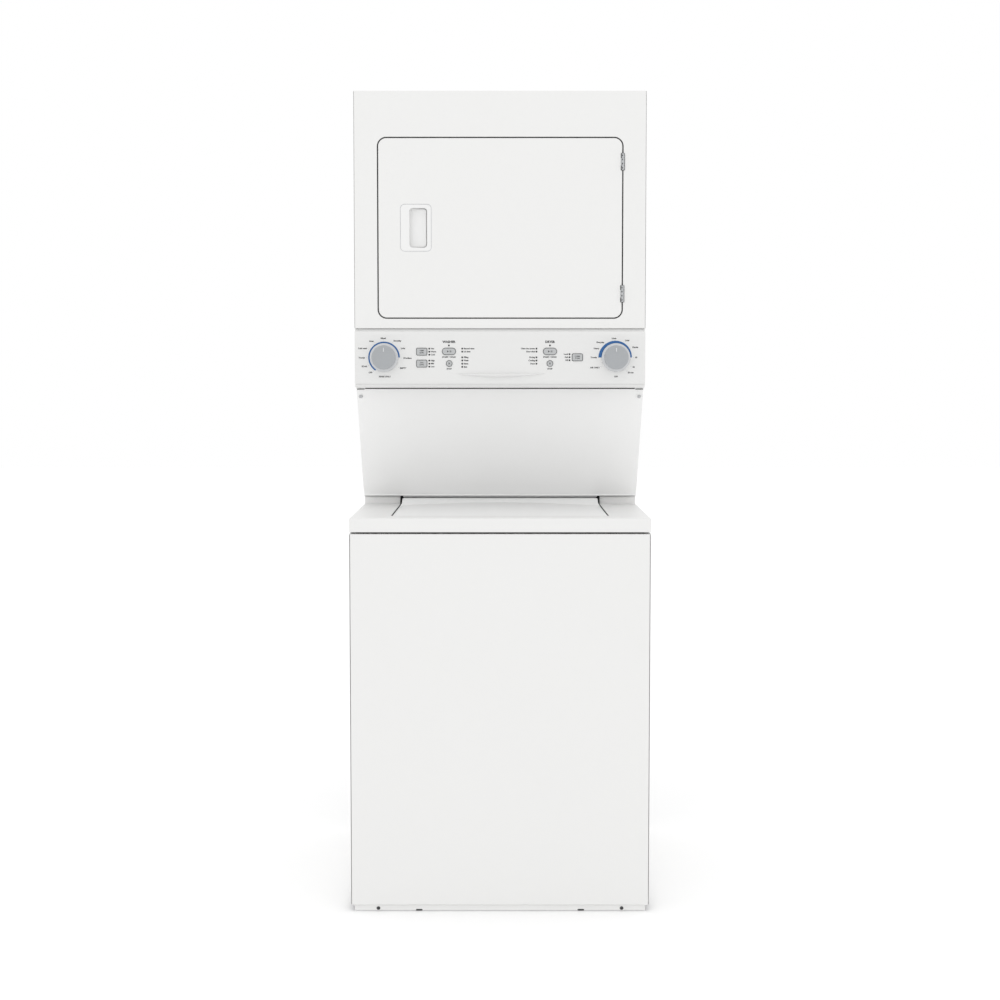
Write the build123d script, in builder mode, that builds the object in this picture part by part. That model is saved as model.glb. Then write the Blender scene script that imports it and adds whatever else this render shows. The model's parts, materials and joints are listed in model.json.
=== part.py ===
"""Laundry centre: a top-loading washer below a front-loading dryer, with one shared console.

Frame: millimetres, +Z up, the front faces -Y, origin on the floor under the middle of the machine.
"""

from build123d import *
import os
from math import atan, cos, degrees, radians, sin, sqrt

os.makedirs("parts", exist_ok=True)

# ---------------------------------------------------------------- driving dimensions
WIDTH = 686.0
HALF = WIDTH / 2
FRONT_Y = -400.0
REAR_Y = 350.0
EXHAUST_END_Y = 400.0
TOP_Z = 1894.0
SHEET = 1.2
CORNER_R = 6.0
RETURN = 25.0
SEAM = 1.0

CABINET_BOTTOM_Z = 15.0
CABINET_TOP_Z = 872.0
DECK_BOTTOM_Z = 876.0
DECK_Z = 908.0
SHELF_Z = 928.0
SHELF_Y = 70.0

POCKET_HALF = 252.0
POCKET_FRONT_Y = -327.0
POCKET_REAR_Y = 88.0
POCKET_FLOOR_Z = 892.0
MOUTH_HALF = 205.0
MOUTH_FRONT_Y = -285.0
MOUTH_REAR_Y = 35.0
MOUTH_R = 110.0

LID_GAP = 2.2
LID_FRONT_Y = -324.5
LID_REAR_Y = 72.0
LID_STEP_Y = 46.0
LID_TOP_Z = 907.0
LID_RAISED_Z = 924.0
LID_BOTTOM_Z = 894.0
LID_WALL = 2.0
LID_HINGE_Y = 60.0
LID_HINGE_Z = 902.0
LID_PIN_R = 4.0

DRYER_FRONT_Y = -217.0
DRYER_FRONT_BOTTOM_Z = 1341.0
CONSOLE_FACE_Y = -227.0
CONSOLE_BACK_Y = -192.5
CONSOLE_TOP_Z = 1336.0
CONSOLE_FACE_BOTTOM_Z = 1220.0
CONSOLE_BOTTOM_Z = 1202.0
CONSOLE_WALL = 2.5
CONSOLE_HALF = 341.5
CONSOLE_BROW = 10.0
CONSOLE_LIP = 18.0

PANEL_TOP_Y = -161.5
PANEL_TOP_Z = 1206.5
PANEL_BOTTOM_Y = 57.0
PANEL_BOTTOM_Z = 933.5

DOOR_LEFT = -285.0
DOOR_RIGHT = 286.0
DOOR_BOTTOM = 1367.0
DOOR_TOP = 1784.5
DOOR_R = 19.0
DOOR_GAP = 3.0
DOOR_DEPTH = 24.0
DOOR_RECESS = 30.0
DRUM_MOUTH_HALF_X = 215.0
DRUM_MOUTH_HALF_Z = 150.0
DRUM_MOUTH_R = 80.0
DOOR_HINGE_X = 287.6
DOOR_HINGE_Y = -218.0
DOOR_HINGE_ZS = (1422.5, 1729.5)
DOOR_HINGE_LENGTH = 38.0
DOOR_PIN_R = 1.6
HANDLE_X = -197.3
HANDLE_Z = 1576.4
HANDLE_PLATE_W = 72.0
HANDLE_PLATE_H = 109.0
HANDLE_POCKET_X = -191.7
HANDLE_POCKET_W = 41.4
HANDLE_POCKET_H = 92.3

DRUM_Z = 1575.0
DRUM_R = 298.0
DRUM_FRONT_Y = -150.0
DRUM_REAR_Y = 283.0
DRUM_LIP_R = 238.4
BULKHEAD_Y = -160.0
REAR_BULKHEAD_Y = 290.0
DRUM_SHAFT_R = 10.0
BAFFLE_HEIGHT = 55.0
BAFFLE_FOOT = 70.0
BAFFLE_LENGTH = 380.0
BAFFLE_WALL = 2.0
BELT_Y = 175.0
BELT_CLEARANCE = 0.4
BELT_THICKNESS = 3.0
BELT_WIDTH = 9.0

DRIVE_Z = 1185.0
MOTOR_R = 60.0
MOTOR_PULLEY_R = 14.0
IDLER_R = 20.0
BLOWER_R = 80.0
DRYER_FLOOR_Z = 1088.0
EXHAUST_X = -120.0
EXHAUST_Z = 1150.0
EXHAUST_R = 50.8

TUB_Y = -90.0
TUB_R = 290.0
TUB_WALL = 3.0
TUB_BOTTOM_Z = 215.0
TUB_TOP_Z = 820.0
BASKET_R = 262.0
BASKET_BOTTOM_Z = 245.0
BASKET_TOP_Z = 790.0
BALANCE_INNER_R = 238.0
AGITATOR_R = 52.0
AGITATOR_BASE_R = 165.0
AGITATOR_TOP_Z = 700.0
WASHER_SHAFT_R = 12.0
SPIN_TUBE_R = 22.0
RUNNING = 0.05

FOOT_X = 300.0
FOOT_YS = (-345.0, 305.0)
FOOT_PAD_R = 19.0
FOOT_STUD_R = 5.0
ROD_X = 300.0
ROD_YS = (-350.0, 210.0)

KNOB_X = 272.5
KNOB_Z = 1273.2
KNOB_SKIRT_R = 33.6
KNOB_GRIP_R = 28.2
KNOB_SHAFT_R = 3.0
BUTTON_PROUD = 1.5
BUTTON_GAP = 0.4

# name: centre x, centre z, width, height, corner radius
BUTTONS = {
    "washer_temperature_button": (-183.8, 1286.8, 25.4, 17.4, 3.0),
    "washer_soil_button": (-183.8, 1258.8, 25.4, 17.4, 3.0),
    "washer_start_button": (-119.9, 1287.4, 32.6, 16.4, 8.1),
    "washer_cancel_button": (-119.4, 1259.1, 14.8, 14.8, 7.35),
    "dryer_start_button": (117.4, 1287.4, 32.6, 16.4, 8.1),
    "dryer_cancel_button": (117.4, 1259.1, 14.8, 14.8, 7.35),
    "dryer_signal_button": (181.8, 1273.6, 25.4, 17.4, 3.0),
}

# planes whose sketches read x to the right and z up, extruding towards the rear


def front_plane(y):
    """A plane facing the front at depth y: sketch x is +X, sketch y is +Z, normal is -Y."""
    return Plane(origin=(0, y, 0), x_dir=(1, 0, 0), z_dir=(0, -1, 0))


def side_plane(x):
    """A plane facing right at x: sketch x is +Y, sketch y is +Z, normal is +X."""
    return Plane(origin=(x, 0, 0), x_dir=(0, 1, 0), z_dir=(1, 0, 0))


# ---------------------------------------------------------------- washer cabinet
RAIL_WEB_X = HALF - 3.2
RAIL_LENGTH = REAR_Y - FRONT_Y - 34
RAIL_MID_Y = (REAR_Y + FRONT_Y) / 2
ROD_PLACES = [(x, y) for x in (-ROD_X, ROD_X) for y in ROD_YS]
BRACE_Z = 846.0
# four base rails and four top corner braces, each a separate piece
with BuildPart() as cabinet_frame:
    for web_y, flange_y in ((FRONT_Y + 12, FRONT_Y + 24), (REAR_Y - 12, REAR_Y - 22)):
        with BuildSketch(front_plane(web_y)):
            with Locations((0, 29)):
                RectangleRounded(650, 50, 8)
        extrude(amount=-2)
        with BuildSketch(Plane.XY.offset(30)):
            with Locations((0, flange_y)):
                Rectangle(590, 20)
        extrude(amount=2)
    with BuildSketch(front_plane(FRONT_Y)):
        with Locations((-186, 7), (186, 7)):
            SlotOverall(14, 3)
    extrude(amount=-20, mode=Mode.SUBTRACT)
    for side in (-1, 1):
        with BuildSketch(Plane.XY.offset(26)):
            with Locations((side * (RAIL_WEB_X - 1), RAIL_MID_Y)):
                Rectangle(2, RAIL_LENGTH)
        extrude(amount=38)
        with BuildSketch(Plane.XY.offset(24)):
            with Locations((side * (RAIL_WEB_X - 32), RAIL_MID_Y)):
                Rectangle(64, RAIL_LENGTH)
            with Locations(*[(side * FOOT_X, y) for y in FOOT_YS]):
                Circle(FOOT_STUD_R + 0.2, mode=Mode.SUBTRACT)
        extrude(amount=2.5)
    with BuildSketch(Plane.XY.offset(BRACE_Z)):
        with Locations(*[((HALF - 34) * (1 if x > 0 else -1), y) for x, y in ROD_PLACES]):
            Rectangle(60, 44)
        with Locations(*ROD_PLACES):
            Circle(5.3, mode=Mode.SUBTRACT)
    extrude(amount=3)
    with BuildSketch(Plane.XY.offset(BRACE_Z + 3)):
        with Locations(*[((HALF - 40) * (1 if x > 0 else -1), y + 20) for x, y in ROD_PLACES]):
            Rectangle(24, 3)
    extrude(amount=DECK_Z - 4 * SHEET - BRACE_Z - 3)
cabinet_frame.part.label = "cabinet_frame"
export_step(cabinet_frame.part, "parts/cabinet_frame.step")

FOOT_PLACES = [(x, y) for x in (-FOOT_X, FOOT_X) for y in FOOT_YS]
with BuildPart() as levelling_feet:
    with BuildSketch(Plane.XY):
        with Locations(*FOOT_PLACES):
            Circle(FOOT_PAD_R)
    extrude(amount=9)
    chamfer(levelling_feet.edges().filter_by(GeomType.CIRCLE).group_by(Axis.Z)[0], 1.5)
    with BuildSketch(Plane.XY.offset(9)):
        with Locations(*FOOT_PLACES):
            RegularPolygon(11, 6)
    extrude(amount=6)
    with BuildSketch(Plane.XY.offset(15)):
        with Locations(*FOOT_PLACES):
            Circle(FOOT_STUD_R)
    extrude(amount=27)
    with BuildSketch(Plane.XY.offset(26.5)):
        with Locations(*FOOT_PLACES):
            RegularPolygon(9.5, 6)
            Circle(FOOT_STUD_R + 0.1, mode=Mode.SUBTRACT)
    extrude(amount=5)
levelling_feet.part.label = "levelling_feet"
export_step(levelling_feet.part, "parts/levelling_feet.step")

CABINET_HEIGHT = CABINET_TOP_Z - CABINET_BOTTOM_Z
with BuildPart() as washer_front_panel:
    with BuildSketch(front_plane(FRONT_Y)):
        with Locations((0, CABINET_BOTTOM_Z + CABINET_HEIGHT / 2)):
            Rectangle(WIDTH, CABINET_HEIGHT)
    extrude(amount=-RETURN)
    fillet(washer_front_panel.edges().filter_by(Axis.Z).group_by(Axis.Y)[0], CORNER_R)
    fillet(washer_front_panel.faces().sort_by(Axis.Y)[0].edges(), 3.0)
    with BuildSketch(front_plane(FRONT_Y + RETURN)):
        with Locations((0, CABINET_BOTTOM_Z + CABINET_HEIGHT / 2)):
            Rectangle(WIDTH - 2 * SHEET, CABINET_HEIGHT - 2 * SHEET)
    extrude(amount=RETURN - SHEET, mode=Mode.SUBTRACT)
    with BuildSketch(Plane.XY.offset(CABINET_BOTTOM_Z)):
        with Locations((0, FRONT_Y + RETURN / 2 + 3)):
            Rectangle(WIDTH - 8 * SHEET, RETURN)
    extrude(amount=5, mode=Mode.SUBTRACT)
washer_front_panel.part.label = "washer_front_panel"
export_step(washer_front_panel.part, "parts/washer_front_panel.step")

SIDE_FRONT_Y = FRONT_Y + RETURN + SEAM
with BuildPart() as washer_sides:
    for side in (-1, 1):
        with BuildSketch(side_plane(side * HALF)):
            with Locations(((SIDE_FRONT_Y + REAR_Y) / 2, CABINET_BOTTOM_Z + CABINET_HEIGHT / 2)):
                Rectangle(REAR_Y - SIDE_FRONT_Y, CABINET_HEIGHT)
        extrude(amount=-side * SHEET)
        with BuildSketch(Plane.XY.offset(CABINET_TOP_Z - SHEET)):
            with Locations((side * (HALF - 9), (SIDE_FRONT_Y + REAR_Y) / 2)):
                Rectangle(18, REAR_Y - SIDE_FRONT_Y)
        extrude(amount=SHEET)
        with BuildSketch(front_plane(SIDE_FRONT_Y)):
            with Locations((side * (HALF - 9), CABINET_BOTTOM_Z + 50 + (CABINET_HEIGHT - 50) / 2)):
                Rectangle(18, CABINET_HEIGHT - 50)
        extrude(amount=-SHEET)
washer_sides.part.label = "washer_sides"
export_step(washer_sides.part, "parts/washer_sides.step")

VALVE_XS = (-250.0, -190.0)
VALVE_Z = 820.0
DRAIN_X = -100.0
DRAIN_Z = 820.0
with BuildPart() as washer_rear_panel:
    with BuildSketch(front_plane(REAR_Y)):
        with Locations((0, CABINET_BOTTOM_Z + CABINET_HEIGHT / 2 - SHEET)):
            Rectangle(WIDTH - 2 * SHEET - 0.4, CABINET_HEIGHT - 2 * SHEET)
        with Locations(*[(x, VALVE_Z) for x in VALVE_XS]):
            Circle(16, mode=Mode.SUBTRACT)
        with Locations((DRAIN_X, DRAIN_Z)):
            Circle(18, mode=Mode.SUBTRACT)
    extrude(amount=SHEET)
    with BuildSketch(front_plane(REAR_Y)):
        with Locations((0, 260), (0, 500)):
            RectangleRounded(420, 160, 20)
            RectangleRounded(400, 140, 14, mode=Mode.SUBTRACT)
    extrude(amount=-1.5)
washer_rear_panel.part.label = "washer_rear_panel"
export_step(washer_rear_panel.part, "parts/washer_rear_panel.step")

with BuildPart() as washer_deck:
    with BuildSketch(Plane.XY.offset(DECK_BOTTOM_Z)):
        with Locations((0, (FRONT_Y + REAR_Y) / 2)):
            RectangleRounded(WIDTH, REAR_Y - FRONT_Y, CORNER_R)
    extrude(amount=DECK_Z - DECK_BOTTOM_Z)
    fillet(washer_deck.faces().sort_by(Axis.Z)[-1].edges(), 4.0)
    with BuildSketch(Plane.XY.offset(DECK_Z - 6)):
        with Locations((0, (SHELF_Y + REAR_Y - SHEET) / 2)):
            Rectangle(WIDTH - 2 * SHEET, REAR_Y - SHEET - SHELF_Y)
    extrude(amount=SHELF_Z - DECK_Z + 6)
    fillet(washer_deck.faces().sort_by(Axis.Z)[-1].edges().group_by(Axis.Y)[0], 5.0)
    with BuildSketch(Plane.XY.offset(DECK_BOTTOM_Z)):
        with Locations((0, (FRONT_Y + REAR_Y) / 2)):
            RectangleRounded(WIDTH - 2 * SHEET, REAR_Y - FRONT_Y - 2 * SHEET, CORNER_R - SHEET)
    extrude(amount=DECK_Z - DECK_BOTTOM_Z - 4 * SHEET, mode=Mode.SUBTRACT)
    with BuildSketch(Plane.XY.offset(DECK_BOTTOM_Z)):
        with Locations((0, (SHELF_Y + REAR_Y) / 2 + 1)):
            Rectangle(WIDTH - 6 * SHEET, REAR_Y - SHELF_Y - 11)
    extrude(amount=SHELF_Z - DECK_BOTTOM_Z - 2 * SHEET, mode=Mode.SUBTRACT)
    with BuildSketch(Plane.XY.offset(POCKET_FLOOR_Z - SHEET)):
        with Locations((0, (POCKET_FRONT_Y + POCKET_REAR_Y) / 2)):
            Rectangle(2 * POCKET_HALF + 2 * SHEET, POCKET_REAR_Y - POCKET_FRONT_Y + 2 * SHEET)
    extrude(amount=DECK_Z - POCKET_FLOOR_Z - SHEET)
    with BuildSketch(Plane.XY.offset(POCKET_FLOOR_Z - SHEET)):
        with Locations((0, (SHELF_Y + 3 + POCKET_REAR_Y + SHEET) / 2)):
            Rectangle(2 * POCKET_HALF + 2 * SHEET, POCKET_REAR_Y + SHEET - SHELF_Y - 3)
    extrude(amount=SHELF_Z - POCKET_FLOOR_Z)
    with BuildSketch(Plane.XY.offset(POCKET_FLOOR_Z)):
        with Locations((0, (POCKET_FRONT_Y + POCKET_REAR_Y) / 2)):
            RectangleRounded(2 * POCKET_HALF, POCKET_REAR_Y - POCKET_FRONT_Y, 3)
    extrude(amount=60, mode=Mode.SUBTRACT)
    with BuildSketch(Plane.XY.offset(DECK_BOTTOM_Z)):
        with Locations((0, (MOUTH_FRONT_Y + MOUTH_REAR_Y) / 2)):
            RectangleRounded(2 * MOUTH_HALF, MOUTH_REAR_Y - MOUTH_FRONT_Y, MOUTH_R)
    extrude(amount=60, mode=Mode.SUBTRACT)
    with BuildSketch(side_plane(-POCKET_HALF - 14)):
        with Locations((LID_HINGE_Y, LID_HINGE_Z)):
            Circle(LID_PIN_R + RUNNING)
    extrude(amount=2 * POCKET_HALF + 28, mode=Mode.SUBTRACT)
washer_deck.part.label = "washer_deck"
export_step(washer_deck.part, "parts/washer_deck.step")

# ---------------------------------------------------------------- washer lid
LID_HALF = POCKET_HALF - LID_GAP
with BuildPart() as washer_lid:
    with BuildSketch(side_plane(-LID_HALF)):
        with BuildLine():
            Polyline(
                (LID_FRONT_Y, LID_BOTTOM_Z),
                (LID_FRONT_Y, LID_TOP_Z),
                (LID_STEP_Y, LID_TOP_Z),
                (LID_STEP_Y + 10, LID_RAISED_Z),
                (LID_REAR_Y, LID_RAISED_Z),
                (LID_REAR_Y, LID_BOTTOM_Z + 10),
                (LID_REAR_Y - 8, LID_BOTTOM_Z + 2),
                (LID_STEP_Y + 8, LID_BOTTOM_Z),
                close=True,
            )
        make_face()
    extrude(amount=2 * LID_HALF)
    fillet(washer_lid.edges().filter_by(Axis.X).group_by(Axis.Y)[0].sort_by(Axis.Z)[-1], 6.0)
    fillet(washer_lid.edges().filter_by(Axis.X).group_by(Axis.Z)[-1].sort_by(Axis.Y)[0], 4.0)
    with BuildSketch(Plane.XY.offset(LID_BOTTOM_Z)):
        with Locations((0, (LID_FRONT_Y + LID_STEP_Y) / 2)):
            RectangleRounded(2 * LID_HALF - 14, LID_STEP_Y - LID_FRONT_Y - 14, 12)
    extrude(amount=LID_TOP_Z - LID_BOTTOM_Z - SHEET, mode=Mode.SUBTRACT)
    with BuildSketch(Plane.XY.offset(LID_BOTTOM_Z)):
        with Locations((0, (LID_STEP_Y + 10 + LID_REAR_Y) / 2)):
            Rectangle(2 * LID_HALF - 8, LID_REAR_Y - LID_STEP_Y - 10 - 2 * LID_WALL)
    extrude(amount=LID_RAISED_Z - LID_BOTTOM_Z - LID_WALL, mode=Mode.SUBTRACT)
washer_lid.part.label = "washer_lid"
export_step(washer_lid.part, "parts/washer_lid.step")

with BuildPart() as lid_hinge_pins:
    for side in (-1, 1):
        with BuildSketch(side_plane(side * LID_HALF)):
            with Locations((LID_HINGE_Y, LID_HINGE_Z)):
                Circle(LID_PIN_R)
        extrude(amount=side * 14.0)
lid_hinge_pins.part.label = "lid_hinge_pins"
export_step(lid_hinge_pins.part, "parts/lid_hinge_pins.step")

# ---------------------------------------------------------------- washer works
def tub_profile(radius, wall, bottom, top, bore, corner):
    """Outline of half a tub with a bevelled bottom corner, radius across and height up."""
    return [
        (bore, bottom),
        (radius - corner, bottom),
        (radius, bottom + corner),
        (radius, top),
        (radius - wall, top),
        (radius - wall, bottom + corner + wall / 2),
        (radius - corner - wall / 2, bottom + wall),
        (bore, bottom + wall),
    ]


TUB_AXIS = Axis((0, TUB_Y, 0), (0, 0, 1))
TUB_SECTION = Plane(origin=(0, TUB_Y, 0), x_dir=(1, 0, 0), z_dir=(0, -1, 0))
with BuildPart() as outer_tub:
    with BuildSketch(TUB_SECTION):
        with BuildLine():
            Polyline(*tub_profile(TUB_R, TUB_WALL, TUB_BOTTOM_Z, TUB_TOP_Z, SPIN_TUBE_R + 13, 30), close=True)
        make_face()
    revolve(axis=TUB_AXIS)
    with BuildSketch(Plane.XY.offset(TUB_BOTTOM_Z - 6)):
        with Locations(*[(0, y) for y in ROD_YS]):
            Rectangle(2 * ROD_X + 28, 24)
        with Locations((-180, (ROD_YS[0] + ROD_YS[1]) / 2), (180, (ROD_YS[0] + ROD_YS[1]) / 2)):
            Rectangle(70, ROD_YS[1] - ROD_YS[0])
        with Locations((0, TUB_Y)):
            Rectangle(320, 160)
            Circle(SPIN_TUBE_R + 13, mode=Mode.SUBTRACT)
        with Locations(*ROD_PLACES):
            Circle(4.6, mode=Mode.SUBTRACT)
    extrude(amount=6)
outer_tub.part.label = "outer_tub"
export_step(outer_tub.part, "parts/outer_tub.step")

with BuildPart() as tub_cover:
    with BuildSketch(Plane.XY.offset(TUB_TOP_Z)):
        with Locations((0, TUB_Y)):
            Circle(TUB_R + 2)
            Circle(BALANCE_INNER_R, mode=Mode.SUBTRACT)
    extrude(amount=3)
    with BuildSketch(Plane.XY.offset(TUB_TOP_Z - 14)):
        with Locations((0, TUB_Y)):
            Circle(TUB_R + 2)
            Circle(TUB_R + 0.1, mode=Mode.SUBTRACT)
    extrude(amount=14)
    with BuildSketch(Plane.XY.offset(TUB_TOP_Z + 3)):
        with Locations((0, TUB_Y)):
            Circle(BALANCE_INNER_R + 8)
            Circle(BALANCE_INNER_R + 4, mode=Mode.SUBTRACT)
    extrude(amount=12)
tub_cover.part.label = "tub_cover"
export_step(tub_cover.part, "parts/tub_cover.step")

# rods hang from the top braces and carry the tub arms on spring cups
with BuildPart() as suspension_rods:
    with BuildSketch(Plane.XY.offset(180)):
        with Locations(*ROD_PLACES):
            Circle(4.2)
    extrude(amount=BRACE_Z + 3 - 180)
    with BuildSketch(Plane.XY.offset(BRACE_Z + 3)):
        with Locations(*ROD_PLACES):
            Circle(9)
    extrude(amount=6)
    with BuildSketch(Plane.XY.offset(178)):
        with Locations(*ROD_PLACES):
            Circle(15)
    extrude(amount=TUB_BOTTOM_Z - 6 - 178)
suspension_rods.part.label = "suspension_rods"
export_step(suspension_rods.part, "parts/suspension_rods.step")

with BuildPart() as gearcase:
    with BuildSketch(Plane.XY.offset(120)):
        with Locations((0, TUB_Y)):
            Circle(70)
    extrude(amount=70)
    fillet(gearcase.edges().group_by(Axis.Z)[-1], 12)
    with BuildSketch(Plane.XY.offset(186)):
        with Locations((0, TUB_Y)):
            Circle(SPIN_TUBE_R + 12)
    extrude(amount=TUB_BOTTOM_Z - 186)
    with BuildSketch(Plane.XY.offset(170)):
        with Locations((0, TUB_Y)):
            Circle(SPIN_TUBE_R + RUNNING)
    extrude(amount=60, mode=Mode.SUBTRACT)
    with BuildSketch(Plane.XY.offset(118)):
        with Locations((0, TUB_Y)):
            Circle(14 + RUNNING)
    extrude(amount=40, mode=Mode.SUBTRACT)
gearcase.part.label = "gearcase"
export_step(gearcase.part, "parts/gearcase.step")

# wash basket and the tube that spins it
with BuildPart() as wash_basket:
    with BuildSketch(TUB_SECTION):
        with BuildLine():
            Polyline(*tub_profile(BASKET_R, 1.6, BASKET_BOTTOM_Z, BASKET_TOP_Z, SPIN_TUBE_R, 24), close=True)
        make_face()
    revolve(axis=TUB_AXIS)
    with BuildSketch(Plane.XY.offset(BASKET_BOTTOM_Z - 10)):
        with Locations((0, TUB_Y)):
            Circle(80)
    extrude(amount=10)
    with BuildSketch(Plane.XY.offset(178)):
        with Locations((0, TUB_Y)):
            Circle(SPIN_TUBE_R)
    extrude(amount=BASKET_BOTTOM_Z + 12 - 178)
    with BuildSketch(Plane.XY.offset(178)):
        with Locations((0, TUB_Y)):
            Circle(WASHER_SHAFT_R + RUNNING)
    extrude(amount=BASKET_BOTTOM_Z + 12 - 178, mode=Mode.SUBTRACT)
wash_basket.part.label = "wash_basket"
export_step(wash_basket.part, "parts/wash_basket.step")

with BuildPart() as balance_ring:
    with BuildSketch(Plane.XY.offset(BASKET_TOP_Z)):
        with Locations((0, TUB_Y)):
            Circle(BASKET_R + 2)
            Circle(BALANCE_INNER_R, mode=Mode.SUBTRACT)
    extrude(amount=26)
    fillet(balance_ring.edges().group_by(Axis.Z)[-1], 8)
balance_ring.part.label = "balance_ring"
export_step(balance_ring.part, "parts/balance_ring.step")

# agitator: hollow flared post with four vanes
AGITATOR_WALL = 4.0
AGITATOR_OUTLINE = [(AGITATOR_BASE_R, 262), (AGITATOR_BASE_R, 272), (120, 286), (78, 330), (60, 400)]
AGITATOR_OUTLINE += [(AGITATOR_R, 520), (AGITATOR_R - 4, AGITATOR_TOP_Z)]
AGITATOR_INNER = [(r - AGITATOR_WALL, z - AGITATOR_WALL) for r, z in reversed(AGITATOR_OUTLINE[1:])]
VANE = [(50, 284), (AGITATOR_BASE_R - 6, 270), (AGITATOR_BASE_R - 12, 330), (98, 420), (74, 540), (50, 540)]
with BuildPart() as agitator:
    with BuildSketch(TUB_SECTION):
        for sign in (1, -1):
            with BuildLine():
                Polyline(*[(sign * r, z) for r, z in VANE], close=True)
            make_face()
    extrude(amount=4, both=True)
    with BuildSketch(Plane(origin=(0, TUB_Y, 0), x_dir=(0, 1, 0), z_dir=(1, 0, 0))):
        for sign in (1, -1):
            with BuildLine():
                Polyline(*[(sign * r, z) for r, z in VANE], close=True)
            make_face()
    extrude(amount=4, both=True)
    with BuildSketch(TUB_SECTION):
        with BuildLine():
            Polyline((WASHER_SHAFT_R, 262), *AGITATOR_OUTLINE, (WASHER_SHAFT_R, AGITATOR_TOP_Z), close=True)
        make_face()
    revolve(axis=TUB_AXIS)
    with BuildSketch(TUB_SECTION):
        with BuildLine():
            Polyline(
                (WASHER_SHAFT_R + 5, 262),
                (WASHER_SHAFT_R + 5, AGITATOR_TOP_Z - AGITATOR_WALL),
                *AGITATOR_INNER,
                (AGITATOR_BASE_R - AGITATOR_WALL, 262),
                close=True,
            )
        make_face()
    revolve(axis=TUB_AXIS, mode=Mode.SUBTRACT)
    with BuildSketch(Plane.XY.offset(182)):
        with Locations((0, TUB_Y)):
            Circle(WASHER_SHAFT_R)
    extrude(amount=AGITATOR_TOP_Z - 182)
agitator.part.label = "agitator"
export_step(agitator.part, "parts/agitator.step")

with BuildPart() as agitator_cap:
    with BuildSketch(Plane.XY.offset(AGITATOR_TOP_Z)):
        with Locations((0, TUB_Y)):
            Circle(AGITATOR_R - 4)
    extrude(amount=22)
    fillet(agitator_cap.edges().group_by(Axis.Z)[-1], 14)
agitator_cap.part.label = "agitator_cap"
export_step(agitator_cap.part, "parts/agitator_cap.step")

# ---------------------------------------------------------------- washer drive, below the tub
WASHER_PULLEY_R = 95.0
WASHER_MOTOR_X = 185.0
WASHER_MOTOR_Y = 120.0
WASHER_MOTOR_PULLEY_R = 22.0
WASHER_BELT_Z = 98.0
with BuildPart() as washer_pulley:
    with BuildSketch(Plane.XY.offset(WASHER_BELT_Z - 8)):
        with Locations((0, TUB_Y)):
            Circle(WASHER_PULLEY_R)
    extrude(amount=16)
    with BuildSketch(Plane.XY.offset(WASHER_BELT_Z + 8)):
        with Locations((0, TUB_Y)):
            Circle(14)
    extrude(amount=44)
washer_pulley.part.label = "washer_pulley"
export_step(washer_pulley.part, "parts/washer_pulley.step")

with BuildPart() as washer_motor_pulley:
    with BuildSketch(Plane.XY.offset(WASHER_BELT_Z - 8)):
        with Locations((WASHER_MOTOR_X, WASHER_MOTOR_Y)):
            Circle(WASHER_MOTOR_PULLEY_R)
    extrude(amount=16)
    with BuildSketch(Plane.XY.offset(WASHER_BELT_Z + 8)):
        with Locations((WASHER_MOTOR_X, WASHER_MOTOR_Y)):
            Circle(6)
    extrude(amount=24)
washer_motor_pulley.part.label = "washer_motor_pulley"
export_step(washer_motor_pulley.part, "parts/washer_motor_pulley.step")

with BuildPart() as washer_motor:
    with BuildSketch(Plane.XY.offset(112)):
        with Locations((WASHER_MOTOR_X, WASHER_MOTOR_Y)):
            Circle(62)
    extrude(amount=88)
    fillet(washer_motor.edges().filter_by(GeomType.CIRCLE), 8)
    with BuildSketch(Plane.XY.offset(200)):
        with Locations((WASHER_MOTOR_X, WASHER_MOTOR_Y)):
            Rectangle(80, 60)
    extrude(amount=TUB_BOTTOM_Z - 6 - 200)
    with BuildSketch(Plane.XY.offset(112)):
        with Locations((WASHER_MOTOR_X, WASHER_MOTOR_Y)):
            Circle(6 + RUNNING)
    extrude(amount=30, mode=Mode.SUBTRACT)
washer_motor.part.label = "washer_motor"
export_step(washer_motor.part, "parts/washer_motor.step")

with BuildPart() as washer_belt:
    with BuildSketch(Plane.XY.offset(WASHER_BELT_Z - 5)):
        with BuildLine():
            CenterArc((0, TUB_Y), WASHER_PULLEY_R + 5.4, 0, 360)
            CenterArc((WASHER_MOTOR_X, WASHER_MOTOR_Y), WASHER_MOTOR_PULLEY_R + 5.4, 0, 360)
        make_hull()
    extrude(amount=10)
    with BuildSketch(Plane.XY.offset(WASHER_BELT_Z - 5)):
        with BuildLine():
            CenterArc((0, TUB_Y), WASHER_PULLEY_R + 0.4, 0, 360)
            CenterArc((WASHER_MOTOR_X, WASHER_MOTOR_Y), WASHER_MOTOR_PULLEY_R + 0.4, 0, 360)
        make_hull()
    extrude(amount=10, mode=Mode.SUBTRACT)
washer_belt.part.label = "washer_belt"
export_step(washer_belt.part, "parts/washer_belt.step")

with BuildPart() as drain_pump:
    with BuildSketch(Plane.XY.offset(66.5)):
        with Locations((-200, -280)):
            Circle(42)
    extrude(amount=70)
    fillet(drain_pump.edges().filter_by(GeomType.CIRCLE), 6)
    with BuildSketch(side_plane(-200)):
        with Locations((-280, 100)):
            Circle(14)
    extrude(amount=75)
    with BuildSketch(Plane.XY.offset(26.5)):
        with Locations((-256, -280)):
            Rectangle(40, 40)
        with Locations((-216, -280)):
            Rectangle(100, 6)
    extrude(amount=40)
drain_pump.part.label = "drain_pump"
export_step(drain_pump.part, "parts/drain_pump.step")

HOSE_THREAD_R = 13.4
DRAIN_R = 15.0
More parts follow.
